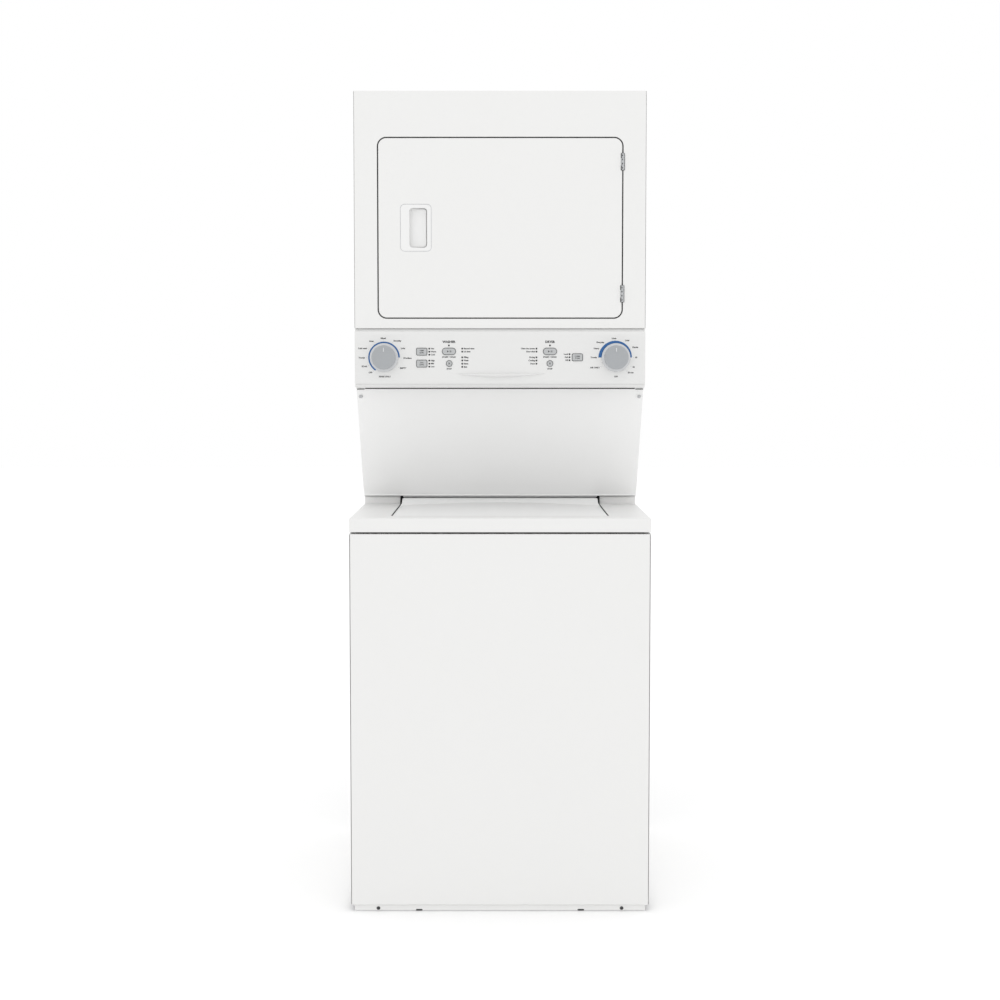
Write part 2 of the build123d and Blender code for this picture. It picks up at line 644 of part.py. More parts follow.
# the inlet valve with its hot and cold ports, and the drain spout
with BuildPart() as hose_fittings:
    with BuildSketch(front_plane(REAR_Y + 26)):
        with Locations(*[(x, VALVE_Z) for x in VALVE_XS]):
            Circle(HOSE_THREAD_R)
    extrude(amount=24)
    with BuildSketch(front_plane(REAR_Y + 2)):
        with Locations(*[(x, VALVE_Z) for x in VALVE_XS]):
            Circle(HOSE_THREAD_R + 1.4)
    extrude(amount=6)
    with BuildSketch(front_plane(REAR_Y - SHEET)):
        with Locations(((VALVE_XS[0] + VALVE_XS[1]) / 2, VALVE_Z)):
            RectangleRounded(110, 44, 6)
    extrude(amount=34)
    with BuildSketch(front_plane(REAR_Y + 26)):
        with Locations(*[(x, VALVE_Z) for x in VALVE_XS]):
            Circle(10)
    extrude(amount=24, mode=Mode.SUBTRACT)
    with BuildSketch(front_plane(REAR_Y + 38)):
        with Locations((DRAIN_X, DRAIN_Z)):
            Circle(DRAIN_R)
    extrude(amount=60)
    with BuildSketch(front_plane(REAR_Y + 3)):
        with Locations((DRAIN_X, DRAIN_Z)):
            Circle(24)
    extrude(amount=3)
    with BuildSketch(front_plane(REAR_Y + 38)):
        with Locations((DRAIN_X, DRAIN_Z)):
            Circle(DRAIN_R - 3)
    extrude(amount=60, mode=Mode.SUBTRACT)
hose_fittings.part.label = "hose_fittings"
export_step(hose_fittings.part, "parts/hose_fittings.step")

# ---------------------------------------------------------------- dryer cabinet
with BuildPart() as sloped_panel:
    with BuildSketch(side_plane(-HALF)):
        with BuildLine():
            Polyline(
                (PANEL_TOP_Y, PANEL_TOP_Z),
                (PANEL_BOTTOM_Y, PANEL_BOTTOM_Z),
                (PANEL_BOTTOM_Y + 14, PANEL_BOTTOM_Z),
                (PANEL_BOTTOM_Y + 14, PANEL_BOTTOM_Z + SHEET),
                (PANEL_BOTTOM_Y + 0.8, PANEL_BOTTOM_Z + SHEET),
                (PANEL_TOP_Y + 1.6, PANEL_TOP_Z + 0.6),
                close=True,
            )
        make_face()
    extrude(amount=WIDTH)
sloped_panel.part.label = "sloped_panel"
export_step(sloped_panel.part, "parts/sloped_panel.step")

SIDE_DRYER_FRONT_Y = DRYER_FRONT_Y + RETURN
DRYER_SIDE_OUTLINE = [
    (SIDE_DRYER_FRONT_Y, TOP_Z - SHEET),
    (SIDE_DRYER_FRONT_Y, PANEL_TOP_Z + 1),
    (PANEL_TOP_Y + 1.8, PANEL_TOP_Z + 1),
    (PANEL_BOTTOM_Y + 2.0, PANEL_BOTTOM_Z + SHEET + 0.8),
    (PANEL_BOTTOM_Y + 16, PANEL_BOTTOM_Z + SHEET + 0.8),
    (PANEL_BOTTOM_Y + 16, SHELF_Z),
    (REAR_Y, SHELF_Z),
    (REAR_Y, TOP_Z - SHEET),
]
with BuildPart() as dryer_sides:
    for side in (-1, 1):
        with BuildSketch(side_plane(side * HALF)):
            with BuildLine():
                Polyline(*DRYER_SIDE_OUTLINE, close=True)
            make_face()
        extrude(amount=-side * SHEET)
dryer_sides.part.label = "dryer_sides"
export_step(dryer_sides.part, "parts/dryer_sides.step")

with BuildPart() as dryer_top_panel:
    with BuildSketch(Plane.XY.offset(TOP_Z - SHEET)):
        with Locations((0, (SIDE_DRYER_FRONT_Y + REAR_Y) / 2)):
            Rectangle(WIDTH, REAR_Y - SIDE_DRYER_FRONT_Y)
    extrude(amount=SHEET)
    with BuildSketch(Plane.XY.offset(TOP_Z - 20)):
        with Locations((0, REAR_Y - SHEET - 1)):
            Rectangle(WIDTH - 4 * SHEET, 2)
    extrude(amount=20)
dryer_top_panel.part.label = "dryer_top_panel"
export_step(dryer_top_panel.part, "parts/dryer_top_panel.step")

TERMINAL_X = 200.0
TERMINAL_Z = 1180.0
with BuildPart() as dryer_rear_panel:
    with BuildSketch(front_plane(REAR_Y)):
        with Locations((0, (SHELF_Z + TOP_Z - 22) / 2)):
            Rectangle(WIDTH - 2 * SHEET - 0.4, TOP_Z - 22 - SHELF_Z)
        with Locations((EXHAUST_X, EXHAUST_Z)):
            Circle(EXHAUST_R + 1, mode=Mode.SUBTRACT)
    extrude(amount=SHEET)
    with BuildSketch(front_plane(REAR_Y)):
        with Locations((0, 1575)):
            Circle(250)
            Circle(242, mode=Mode.SUBTRACT)
    extrude(amount=-1.5)
dryer_rear_panel.part.label = "dryer_rear_panel"
export_step(dryer_rear_panel.part, "parts/dryer_rear_panel.step")

DOOR_MID_X = (DOOR_LEFT + DOOR_RIGHT) / 2
DOOR_MID_Z = (DOOR_BOTTOM + DOOR_TOP) / 2
DOOR_W = DOOR_RIGHT - DOOR_LEFT
DOOR_H = DOOR_TOP - DOOR_BOTTOM
FRONT_MID_Z = (DRYER_FRONT_BOTTOM_Z + TOP_Z) / 2
FRONT_H = TOP_Z - DRYER_FRONT_BOTTOM_Z
LEDGE_Y = DRYER_FRONT_Y + DOOR_RECESS
with BuildPart() as dryer_front_panel:
    with BuildSketch(front_plane(DRYER_FRONT_Y)):
        with Locations((0, FRONT_MID_Z)):
            Rectangle(WIDTH, FRONT_H)
    extrude(amount=-RETURN)
    fillet(dryer_front_panel.edges().filter_by(Axis.Z).group_by(Axis.Y)[0], CORNER_R - 1)
    fillet(dryer_front_panel.faces().sort_by(Axis.Y)[0].edges(), 2.5)
    with BuildSketch(front_plane(DRYER_FRONT_Y + RETURN)):
        with Locations((0, FRONT_MID_Z)):
            Rectangle(WIDTH - 2 * SHEET, FRONT_H - 2 * SHEET)
    extrude(amount=RETURN - SHEET, mode=Mode.SUBTRACT)
    with BuildSketch(front_plane(DRYER_FRONT_Y + SHEET)):
        with Locations((DOOR_MID_X, DOOR_MID_Z)):
            RectangleRounded(
                DOOR_W + 2 * (DOOR_GAP + SHEET), DOOR_H + 2 * (DOOR_GAP + SHEET), DOOR_R + DOOR_GAP + SHEET
            )
    extrude(amount=-(DOOR_RECESS - SHEET))
    with BuildSketch(front_plane(DRYER_FRONT_Y)):
        with Locations((DOOR_MID_X, DOOR_MID_Z)):
            RectangleRounded(DOOR_W + 2 * DOOR_GAP, DOOR_H + 2 * DOOR_GAP, DOOR_R + DOOR_GAP)
    extrude(amount=-(DOOR_RECESS - SHEET), mode=Mode.SUBTRACT)
    with BuildSketch(front_plane(DRYER_FRONT_Y)):
        with Locations((0, DRUM_Z)):
            RectangleRounded(2 * DRUM_MOUTH_HALF_X, 2 * DRUM_MOUTH_HALF_Z, DRUM_MOUTH_R)
    extrude(amount=-60, mode=Mode.SUBTRACT)
    with BuildSketch(front_plane(DRYER_FRONT_Y)):
        with Locations(*[(DOOR_HINGE_X, z) for z in DOOR_HINGE_ZS]):
            Rectangle(9, DOOR_HINGE_LENGTH + 1.6)
    extrude(amount=-6, mode=Mode.SUBTRACT)
dryer_front_panel.part.label = "dryer_front_panel"
export_step(dryer_front_panel.part, "parts/dryer_front_panel.step")

with BuildPart() as dryer_floor:
    with BuildSketch(Plane.XY.offset(DRYER_FLOOR_Z)):
        with Locations((0, (-55 + REAR_Y - SHEET) / 2)):
            Rectangle(WIDTH - 2 * SHEET, REAR_Y - SHEET + 55)
    extrude(amount=2)
dryer_floor.part.label = "dryer_floor"
export_step(dryer_floor.part, "parts/dryer_floor.step")

PANEL_RISE = (PANEL_TOP_Z - PANEL_BOTTOM_Z) / (PANEL_BOTTOM_Y - PANEL_TOP_Y)
PANEL_ANGLE = degrees(atan(PANEL_RISE))
PANEL_SCREW_DROP = 20.0
with BuildPart() as cabinet_screws:
    for side in (-1, 1):
        panel_face = Plane(
            origin=(side * 334, PANEL_TOP_Y + PANEL_SCREW_DROP, PANEL_TOP_Z - PANEL_SCREW_DROP * PANEL_RISE),
            x_dir=(1, 0, 0),
            z_dir=(0, -sin(radians(PANEL_ANGLE)), -cos(radians(PANEL_ANGLE))),
        )
        with BuildSketch(panel_face):
            Circle(4.5)
        extrude(amount=2.0)
    with BuildSketch(front_plane(FRONT_Y + 12)):
        with Locations((-280, 9), (280, 9)):
            Circle(4.2)
    extrude(amount=2.4)
cabinet_screws.part.label = "cabinet_screws"
export_step(cabinet_screws.part, "parts/cabinet_screws.step")

# ---------------------------------------------------------------- console
with BuildPart() as console_fascia:
    with BuildSketch(side_plane(-CONSOLE_HALF)):
        with BuildLine():
            Polyline(
                (CONSOLE_BACK_Y, CONSOLE_BOTTOM_Z),
                (CONSOLE_BACK_Y, CONSOLE_TOP_Z),
                (CONSOLE_FACE_Y + CONSOLE_BROW, CONSOLE_TOP_Z),
            )
            brow_end = (CONSOLE_FACE_Y, CONSOLE_TOP_Z - CONSOLE_BROW)
            TangentArc((CONSOLE_FACE_Y + CONSOLE_BROW, CONSOLE_TOP_Z), brow_end, tangent=(-1, 0))
            face_end = (CONSOLE_FACE_Y, CONSOLE_FACE_BOTTOM_Z)
            Line(brow_end, face_end)
            lip_end = (CONSOLE_FACE_Y + CONSOLE_LIP, CONSOLE_BOTTOM_Z)
            TangentArc(face_end, lip_end, tangent=(0, -1))
            Line(lip_end, (CONSOLE_BACK_Y, CONSOLE_BOTTOM_Z))
        make_face()
    extrude(amount=2 * CONSOLE_HALF)
    fillet(console_fascia.faces().sort_by(Axis.X)[0].edges().group_by(Axis.Y)[0], 1.5)
    fillet(console_fascia.faces().sort_by(Axis.X)[-1].edges().group_by(Axis.Y)[0], 1.5)
    with BuildSketch(front_plane(CONSOLE_BACK_Y)):
        with Locations((0, (CONSOLE_TOP_Z + CONSOLE_BOTTOM_Z) / 2)):
            Rectangle(2 * (CONSOLE_HALF - CONSOLE_WALL), CONSOLE_TOP_Z - CONSOLE_BOTTOM_Z - 2 * CONSOLE_WALL - 12)
    extrude(amount=CONSOLE_BACK_Y - CONSOLE_FACE_Y - CONSOLE_WALL, mode=Mode.SUBTRACT)
    with BuildSketch(front_plane(CONSOLE_FACE_Y)):
        for name, (x, z, width, height, corner) in BUTTONS.items():
            with Locations((x, z)):
                slot_corner = min(corner, height / 2 - 0.05) + BUTTON_GAP
                RectangleRounded(width + 2 * BUTTON_GAP, height + 2 * BUTTON_GAP, slot_corner)
        with Locations((-KNOB_X, KNOB_Z), (KNOB_X, KNOB_Z)):
            Circle(KNOB_SHAFT_R + 1)
    extrude(amount=-CONSOLE_WALL, mode=Mode.SUBTRACT)
console_fascia.part.label = "console_fascia"
export_step(console_fascia.part, "parts/console_fascia.step")

KNOB_SIDES = {"washer_knob": -1, "dryer_knob": 1}
for name, side in KNOB_SIDES.items():
    with BuildPart() as knob:
        with BuildSketch(front_plane(CONSOLE_FACE_Y - 0.6)):
            with Locations((side * KNOB_X, KNOB_Z)):
                Circle(KNOB_SKIRT_R)
        extrude(amount=5)
        fillet(knob.edges().group_by(Axis.Y)[0], 2)
        with BuildSketch(front_plane(CONSOLE_FACE_Y - 5.6)):
            with Locations((side * KNOB_X, KNOB_Z)):
                Circle(KNOB_GRIP_R)
        extrude(amount=16, taper=4)
        fillet(knob.edges().group_by(Axis.Y)[0], 2)
        with BuildSketch(front_plane(CONSOLE_FACE_Y - 0.6)):
            with Locations((side * KNOB_X, KNOB_Z)):
                Circle(KNOB_SHAFT_R)
        extrude(amount=-22)
    knob.part.label = name
    export_step(knob.part, f"parts/{name}.step")

for name, (x, z, width, height, corner) in BUTTONS.items():
    with BuildPart() as button:
        with BuildSketch(front_plane(CONSOLE_FACE_Y - BUTTON_PROUD)):
            with Locations((x, z)):
                RectangleRounded(width, height, corner)
        extrude(amount=-(BUTTON_PROUD + CONSOLE_WALL + 0.4))
        fillet(button.edges().group_by(Axis.Y)[0], 0.6)
        with BuildSketch(front_plane(CONSOLE_FACE_Y + CONSOLE_WALL + 0.4)):
            with Locations((x, z)):
                RectangleRounded(width + 3, height + 3, min(corner + 1.5, height / 2 + 1.4))
        extrude(amount=-2)
    button.part.label = name
    export_step(button.part, f"parts/{name}.step")

BOARD_Y = CONSOLE_FACE_Y + CONSOLE_WALL + 10
with BuildPart() as control_board:
    with BuildSketch(front_plane(BOARD_Y)):
        with Locations((0, 1272)):
            Rectangle(470, 80)
    extrude(amount=-1.6)
    with BuildSketch(front_plane(BOARD_Y)):
        for x, z, width, height, corner in BUTTONS.values():
            with Locations((x, z)):
                Rectangle(6, 6)
    extrude(amount=5)
    with BuildSketch(front_plane(BOARD_Y)):
        with Locations((0, 1280), (40, 1262), (-50, 1262), (220, 1280)):
            Rectangle(16, 12)
    extrude(amount=4)
    with BuildSketch(front_plane(CONSOLE_FACE_Y + CONSOLE_WALL)):
        with Locations((-KNOB_X, KNOB_Z), (KNOB_X, KNOB_Z)):
            RectangleRounded(40, 40, 4)
            Circle(KNOB_SHAFT_R + RUNNING, mode=Mode.SUBTRACT)
    extrude(amount=-26)
control_board.part.label = "control_board"
export_step(control_board.part, "parts/control_board.step")

# ---------------------------------------------------------------- dryer works
with BuildPart() as front_bulkhead:
    with BuildSketch(front_plane(BULKHEAD_Y)):
        with Locations((0, DRUM_Z - 2)):
            Rectangle(WIDTH - 8 * SHEET, 590)
        with Locations((0, DRUM_Z)):
            Circle(DRUM_LIP_R - 6.4, mode=Mode.SUBTRACT)
    extrude(amount=-SHEET)
    with BuildSketch(front_plane(BULKHEAD_Y + SHEET)):
        with Locations((0, DRUM_Z)):
            Circle(DRUM_LIP_R - 0.4)
            Circle(DRUM_LIP_R - 6.4, mode=Mode.SUBTRACT)
    extrude(amount=-18)
    with BuildSketch(front_plane(LEDGE_Y + 0.2)):
        with Locations((0, DRUM_Z)):
            Circle(DRUM_LIP_R - 4)
            Circle(DRUM_LIP_R - 6.4, mode=Mode.SUBTRACT)
        with Locations((0, DRUM_Z - DRUM_LIP_R)):
            Rectangle(250, 120, mode=Mode.SUBTRACT)
    extrude(amount=BULKHEAD_Y - LEDGE_Y - 0.2, dir=(0, 1, 0))
front_bulkhead.part.label = "front_bulkhead"
export_step(front_bulkhead.part, "parts/front_bulkhead.step")

DRUM_WALL = 1.5
DRUM_SECTION = Plane(origin=(0, 0, DRUM_Z), x_dir=(0, 1, 0), z_dir=(1, 0, 0))
DRUM_AXIS = Axis((0, 0, DRUM_Z), (0, 1, 0))
with BuildPart() as drum_shell:
    with BuildSketch(DRUM_SECTION):
        with BuildLine():
            Polyline(
                (DRUM_FRONT_Y, DRUM_LIP_R),
                (DRUM_FRONT_Y, DRUM_R - 16),
                (DRUM_FRONT_Y + 16, DRUM_R),
                (DRUM_REAR_Y - 16, DRUM_R),
                (DRUM_REAR_Y, DRUM_R - 16),
                (DRUM_REAR_Y, 40),
                (DRUM_REAR_Y + 4, 40),
                (DRUM_REAR_Y + 4, DRUM_SHAFT_R),
                (DRUM_REAR_Y + 32, DRUM_SHAFT_R),
                (DRUM_REAR_Y + 32, 0),
                (DRUM_REAR_Y - DRUM_WALL, 0),
                (DRUM_REAR_Y - DRUM_WALL, DRUM_R - 16),
                (DRUM_REAR_Y - 16, DRUM_R - DRUM_WALL),
                (DRUM_FRONT_Y + 16, DRUM_R - DRUM_WALL),
                (DRUM_FRONT_Y + DRUM_WALL, DRUM_R - 16),
                (DRUM_FRONT_Y + DRUM_WALL, DRUM_LIP_R),
                close=True,
            )
        make_face()
    revolve(axis=DRUM_AXIS)
drum_shell.part.label = "drum_shell"
export_step(drum_shell.part, "parts/drum_shell.step")

BAFFLE_TIP_R = DRUM_R - DRUM_WALL - BAFFLE_HEIGHT
with BuildPart() as drum_baffles:
    with BuildSketch(Plane(origin=(0, -120, DRUM_Z), x_dir=(1, 0, 0), z_dir=(0, -1, 0))):
        with PolarLocations(0, 3, start_angle=90):
            with Locations(((DRUM_R - DRUM_WALL + BAFFLE_TIP_R) / 2 - 2, 0)):
                Trapezoid(BAFFLE_FOOT, BAFFLE_HEIGHT - 4, 70, rotation=-90)
    extrude(amount=-BAFFLE_LENGTH)
    with BuildSketch(Plane(origin=(0, -120 + BAFFLE_WALL, DRUM_Z), x_dir=(1, 0, 0), z_dir=(0, -1, 0))):
        with PolarLocations(0, 3, start_angle=90):
            with Locations(((DRUM_R - DRUM_WALL + BAFFLE_TIP_R) / 2 - 2 + BAFFLE_WALL, 0)):
                Trapezoid(BAFFLE_FOOT - 2 * BAFFLE_WALL, BAFFLE_HEIGHT - 4, 70, rotation=-90)
    extrude(amount=2 * BAFFLE_WALL - BAFFLE_LENGTH, mode=Mode.SUBTRACT)
drum_baffles.part.label = "drum_baffles"
export_step(drum_baffles.part, "parts/drum_baffles.step")

with BuildPart() as rear_bulkhead:
    with BuildSketch(front_plane(REAR_BULKHEAD_Y)):
        with Locations((0, DRUM_Z - 2)):
            Rectangle(WIDTH - 8 * SHEET, 590)
        with Locations((0, DRUM_Z)):
            Circle(DRUM_SHAFT_R + RUNNING, mode=Mode.SUBTRACT)
    extrude(amount=-SHEET)
    with BuildSketch(front_plane(REAR_BULKHEAD_Y + SHEET)):
        with Locations((0, DRUM_Z)):
            Circle(26)
            Circle(DRUM_SHAFT_R + RUNNING, mode=Mode.SUBTRACT)
    extrude(amount=-22)
rear_bulkhead.part.label = "rear_bulkhead"
export_step(rear_bulkhead.part, "parts/rear_bulkhead.step")

with BuildPart() as heater_housing:
    with BuildSketch(front_plane(REAR_BULKHEAD_Y + SHEET)):
        with Locations((0, DRUM_Z - 160)):
            RectangleRounded(360, 130, 30)
    extrude(amount=-44)
    with BuildSketch(front_plane(REAR_BULKHEAD_Y + SHEET)):
        with Locations((0, DRUM_Z - 160)):
            RectangleRounded(356, 126, 28)
    extrude(amount=-42, mode=Mode.SUBTRACT)
heater_housing.part.label = "heater_housing"
export_step(heater_housing.part, "parts/heater_housing.step")

MOTOR_FRONT_Y = 0.0
MOTOR_LENGTH = 150.0
with BuildPart() as dryer_motor:
    with BuildSketch(front_plane(MOTOR_FRONT_Y)):
        with Locations((0, DRIVE_Z)):
            Circle(MOTOR_R)
    extrude(amount=-MOTOR_LENGTH)
    fillet(dryer_motor.edges().filter_by(GeomType.CIRCLE), 8)
    with BuildSketch(Plane.XY.offset(DRYER_FLOOR_Z + 2)):
        with Locations((0, MOTOR_FRONT_Y + 30), (0, MOTOR_FRONT_Y + MOTOR_LENGTH - 30)):
            Rectangle(90, 16)
    extrude(amount=DRIVE_Z - DRYER_FLOOR_Z - 40)
    with BuildSketch(front_plane(MOTOR_FRONT_Y)):
        with Locations((0, DRIVE_Z)):
            Circle(6 + RUNNING)
    extrude(amount=-MOTOR_LENGTH, mode=Mode.SUBTRACT)
dryer_motor.part.label = "dryer_motor"
export_step(dryer_motor.part, "parts/dryer_motor.step")

BLOWER_FRONT_Y = -70.0
BLOWER_DEPTH = 60.0
with BuildPart() as motor_rotor:
    with BuildSketch(front_plane(BLOWER_FRONT_Y + 12)):
        with Locations((0, DRIVE_Z)):
            Circle(6)
    extrude(amount=-(BELT_Y + 12 - BLOWER_FRONT_Y - 12))
    with BuildSketch(front_plane(BELT_Y - 8)):
        with Locations((0, DRIVE_Z)):
            Circle(MOTOR_PULLEY_R)
    extrude(amount=-16)
    with BuildSketch(front_plane(BLOWER_FRONT_Y + 12)):
        with Locations((0, DRIVE_Z)):
            Circle(BLOWER_R - 12)
    extrude(amount=-3)
    with BuildSketch(front_plane(BLOWER_FRONT_Y + 15)):
        with Locations((0, DRIVE_Z)):
            with PolarLocations(BLOWER_R - 24, 18):
                Rectangle(20, 2)
    extrude(amount=-32)
motor_rotor.part.label = "motor_rotor"
export_step(motor_rotor.part, "parts/motor_rotor.step")

LINT_DUCT_TOP_Z = 1421.0
LINT_DUCT_FRONT_Y = LEDGE_Y + 0.5
LINT_DUCT_BACK_Y = BULKHEAD_Y - 0.3
LINT_DUCT_HALF = 112.0
with BuildPart() as blower_housing:
    with BuildSketch(front_plane(BLOWER_FRONT_Y)):
        with Locations((0, DRIVE_Z)):
            Circle(BLOWER_R)
        with Locations((EXHAUST_X / 2 - 30, EXHAUST_Z)):
            Rectangle(-EXHAUST_X + 55, 104)
    extrude(amount=-BLOWER_DEPTH)
    with BuildSketch(front_plane(BLOWER_FRONT_Y + 2)):
        with Locations((0, DRIVE_Z)):
            Circle(BLOWER_R - 2)
        with Locations((EXHAUST_X / 2 - 30, EXHAUST_Z)):
            Rectangle(-EXHAUST_X + 51, 100)
    extrude(amount=-(BLOWER_DEPTH - 4), mode=Mode.SUBTRACT)
    with BuildSketch(front_plane(BLOWER_FRONT_Y)):
        with Locations((0, DRIVE_Z)):
            Circle(36)
    extrude(amount=-3, mode=Mode.SUBTRACT)
    with BuildSketch(front_plane(BLOWER_FRONT_Y + BLOWER_DEPTH - 3)):
        with Locations((0, DRIVE_Z)):
            Circle(9)
        with Locations((EXHAUST_X, EXHAUST_Z)):
            Circle(EXHAUST_R - 0.8 - SHEET)
    extrude(amount=-3, mode=Mode.SUBTRACT)
    with BuildSketch(Plane.XY.offset(1212)):
        with Locations((0, (LINT_DUCT_FRONT_Y + LINT_DUCT_BACK_Y) / 2)):
            Rectangle(2 * LINT_DUCT_HALF, LINT_DUCT_BACK_Y - LINT_DUCT_FRONT_Y)
    extrude(amount=LINT_DUCT_TOP_Z - 1212)
    with BuildSketch(front_plane(LINT_DUCT_BACK_Y)):
        with Locations((0, 1232)):
            Rectangle(76, 36)
    extrude(amount=-(BLOWER_FRONT_Y - LINT_DUCT_BACK_Y))
    with BuildSketch(front_plane(LINT_DUCT_BACK_Y - 2)):
        with Locations((0, 1232)):
            Rectangle(72, 32)
    extrude(amount=-(BLOWER_FRONT_Y - LINT_DUCT_BACK_Y + 4), mode=Mode.SUBTRACT)
    with BuildSketch(Plane.XY.offset(1214)):
        with Locations((0, (LINT_DUCT_FRONT_Y + LINT_DUCT_BACK_Y) / 2)):
            Rectangle(2 * LINT_DUCT_HALF - 4, LINT_DUCT_BACK_Y - LINT_DUCT_FRONT_Y - 4)
    extrude(amount=LINT_DUCT_TOP_Z - 1214, mode=Mode.SUBTRACT)
blower_housing.part.label = "blower_housing"
export_step(blower_housing.part, "parts/blower_housing.step")

with BuildPart() as lint_screen:
    with BuildSketch(Plane.XY.offset(1252)):
        with Locations((0, (LINT_DUCT_FRONT_Y + LINT_DUCT_BACK_Y) / 2)):
            Rectangle(2 * LINT_DUCT_HALF - 12, 12)
    extrude(amount=LINT_DUCT_TOP_Z + 3 - 1252)
    with BuildSketch(front_plane(LEDGE_Y)):
        with GridLocations(98, 58, 2, 2):
            with Locations((0, 1330)):
                Rectangle(84, 46)
    extrude(amount=-60, mode=Mode.SUBTRACT)
    with BuildSketch(Plane.XY.offset(LINT_DUCT_TOP_Z + 3)):
        with Locations((0, (LINT_DUCT_FRONT_Y + LINT_DUCT_BACK_Y) / 2)):
            Rectangle(60, 8)
    extrude(amount=5)
lint_screen.part.label = "lint_screen"
export_step(lint_screen.part, "parts/lint_screen.step")

# a round duct that ends in a slightly larger collar outside the rear panel
DUCT_R = EXHAUST_R - 0.8
with BuildPart() as exhaust_duct:
    with BuildSketch(front_plane(BLOWER_FRONT_Y + BLOWER_DEPTH)):
        with Locations((EXHAUST_X, EXHAUST_Z)):
            Circle(DUCT_R)
    extrude(amount=-(REAR_Y - BLOWER_FRONT_Y - BLOWER_DEPTH))
    with BuildSketch(front_plane(REAR_Y)):
        with Locations((EXHAUST_X, EXHAUST_Z)):
            Circle(EXHAUST_R)
    extrude(amount=-(EXHAUST_END_Y - REAR_Y))
    with BuildSketch(front_plane(BLOWER_FRONT_Y + BLOWER_DEPTH)):
        with Locations((EXHAUST_X, EXHAUST_Z)):
            Circle(DUCT_R - SHEET)
    extrude(amount=-(EXHAUST_END_Y - BLOWER_FRONT_Y - BLOWER_DEPTH), mode=Mode.SUBTRACT)
exhaust_duct.part.label = "exhaust_duct"
export_step(exhaust_duct.part, "parts/exhaust_duct.step")

with BuildPart() as dryer_belt:
    with BuildSketch(front_plane(BELT_Y - BELT_WIDTH / 2)):
        with BuildLine():
            CenterArc((0, DRUM_Z), DRUM_R + BELT_CLEARANCE + BELT_THICKNESS, 0, 360)
            CenterArc((0, DRIVE_Z), MOTOR_PULLEY_R + BELT_CLEARANCE + BELT_THICKNESS, 0, 360)
        make_hull()
    extrude(amount=-BELT_WIDTH)
    with BuildSketch(front_plane(BELT_Y - BELT_WIDTH / 2)):
        with BuildLine():
            CenterArc((0, DRUM_Z), DRUM_R + BELT_CLEARANCE, 0, 360)
            CenterArc((0, DRIVE_Z), MOTOR_PULLEY_R + BELT_CLEARANCE, 0, 360)
        make_hull()
    extrude(amount=-BELT_WIDTH, mode=Mode.SUBTRACT)
dryer_belt.part.label = "dryer_belt"
export_step(dryer_belt.part, "parts/dryer_belt.step")

# the idler presses on the outside of the slack run of the belt
RUN_NORMAL_Z = -(DRUM_R - MOTOR_PULLEY_R) / (DRUM_Z - DRIVE_Z)
RUN_NORMAL_X = sqrt(1 - RUN_NORMAL_Z**2)
IDLER_ALONG = 90.0
IDLER_OFF = MOTOR_PULLEY_R + 2 * BELT_CLEARANCE + BELT_THICKNESS + IDLER_R
IDLER_X = IDLER_OFF * RUN_NORMAL_X - IDLER_ALONG * RUN_NORMAL_Z
IDLER_Z = DRIVE_Z + IDLER_OFF * RUN_NORMAL_Z + IDLER_ALONG * RUN_NORMAL_X
with BuildPart() as idler_pulley:
    with BuildSketch(front_plane(BELT_Y - 8)):
        with Locations((IDLER_X, IDLER_Z)):
            Circle(IDLER_R)
    extrude(amount=-16)
    with BuildSketch(front_plane(BELT_Y - 22)):
        with Locations((IDLER_X, IDLER_Z)):
            Circle(5)
    extrude(amount=-30)
idler_pulley.part.label = "idler_pulley"
export_step(idler_pulley.part, "parts/idler_pulley.step")

with BuildPart() as idler_arm:
    with BuildSketch(front_plane(BELT_Y - 18)):
        with BuildLine():
            Polyline(
                (IDLER_X - 12, IDLER_Z + 12),
                (IDLER_X + 12, IDLER_Z + 12),
                (IDLER_X + 24, DRYER_FLOOR_Z + 2),
                (IDLER_X - 24, DRYER_FLOOR_Z + 2),
                close=True,
            )
        make_face()
        with Locations((IDLER_X, IDLER_Z)):
            Circle(5 + RUNNING, mode=Mode.SUBTRACT)
    extrude(amount=4)
idler_arm.part.label = "idler_arm"
export_step(idler_arm.part, "parts/idler_arm.step")

with BuildPart() as terminal_cover:
    with BuildSketch(front_plane(REAR_Y)):
        with Locations((TERMINAL_X, TERMINAL_Z)):
            RectangleRounded(110, 130, 4)
    extrude(amount=-34)
    with BuildSketch(front_plane(REAR_Y)):
        with Locations((TERMINAL_X, TERMINAL_Z)):
            Rectangle(107, 127)
    extrude(amount=-32.5, mode=Mode.SUBTRACT)
    with BuildSketch(Plane.XY.offset(TERMINAL_Z - 66)):
        with Locations((TERMINAL_X, REAR_Y + 17)):
            Circle(14.3)
    extrude(amount=4, mode=Mode.SUBTRACT)
terminal_cover.part.label = "terminal_cover"
export_step(terminal_cover.part, "parts/terminal_cover.step")

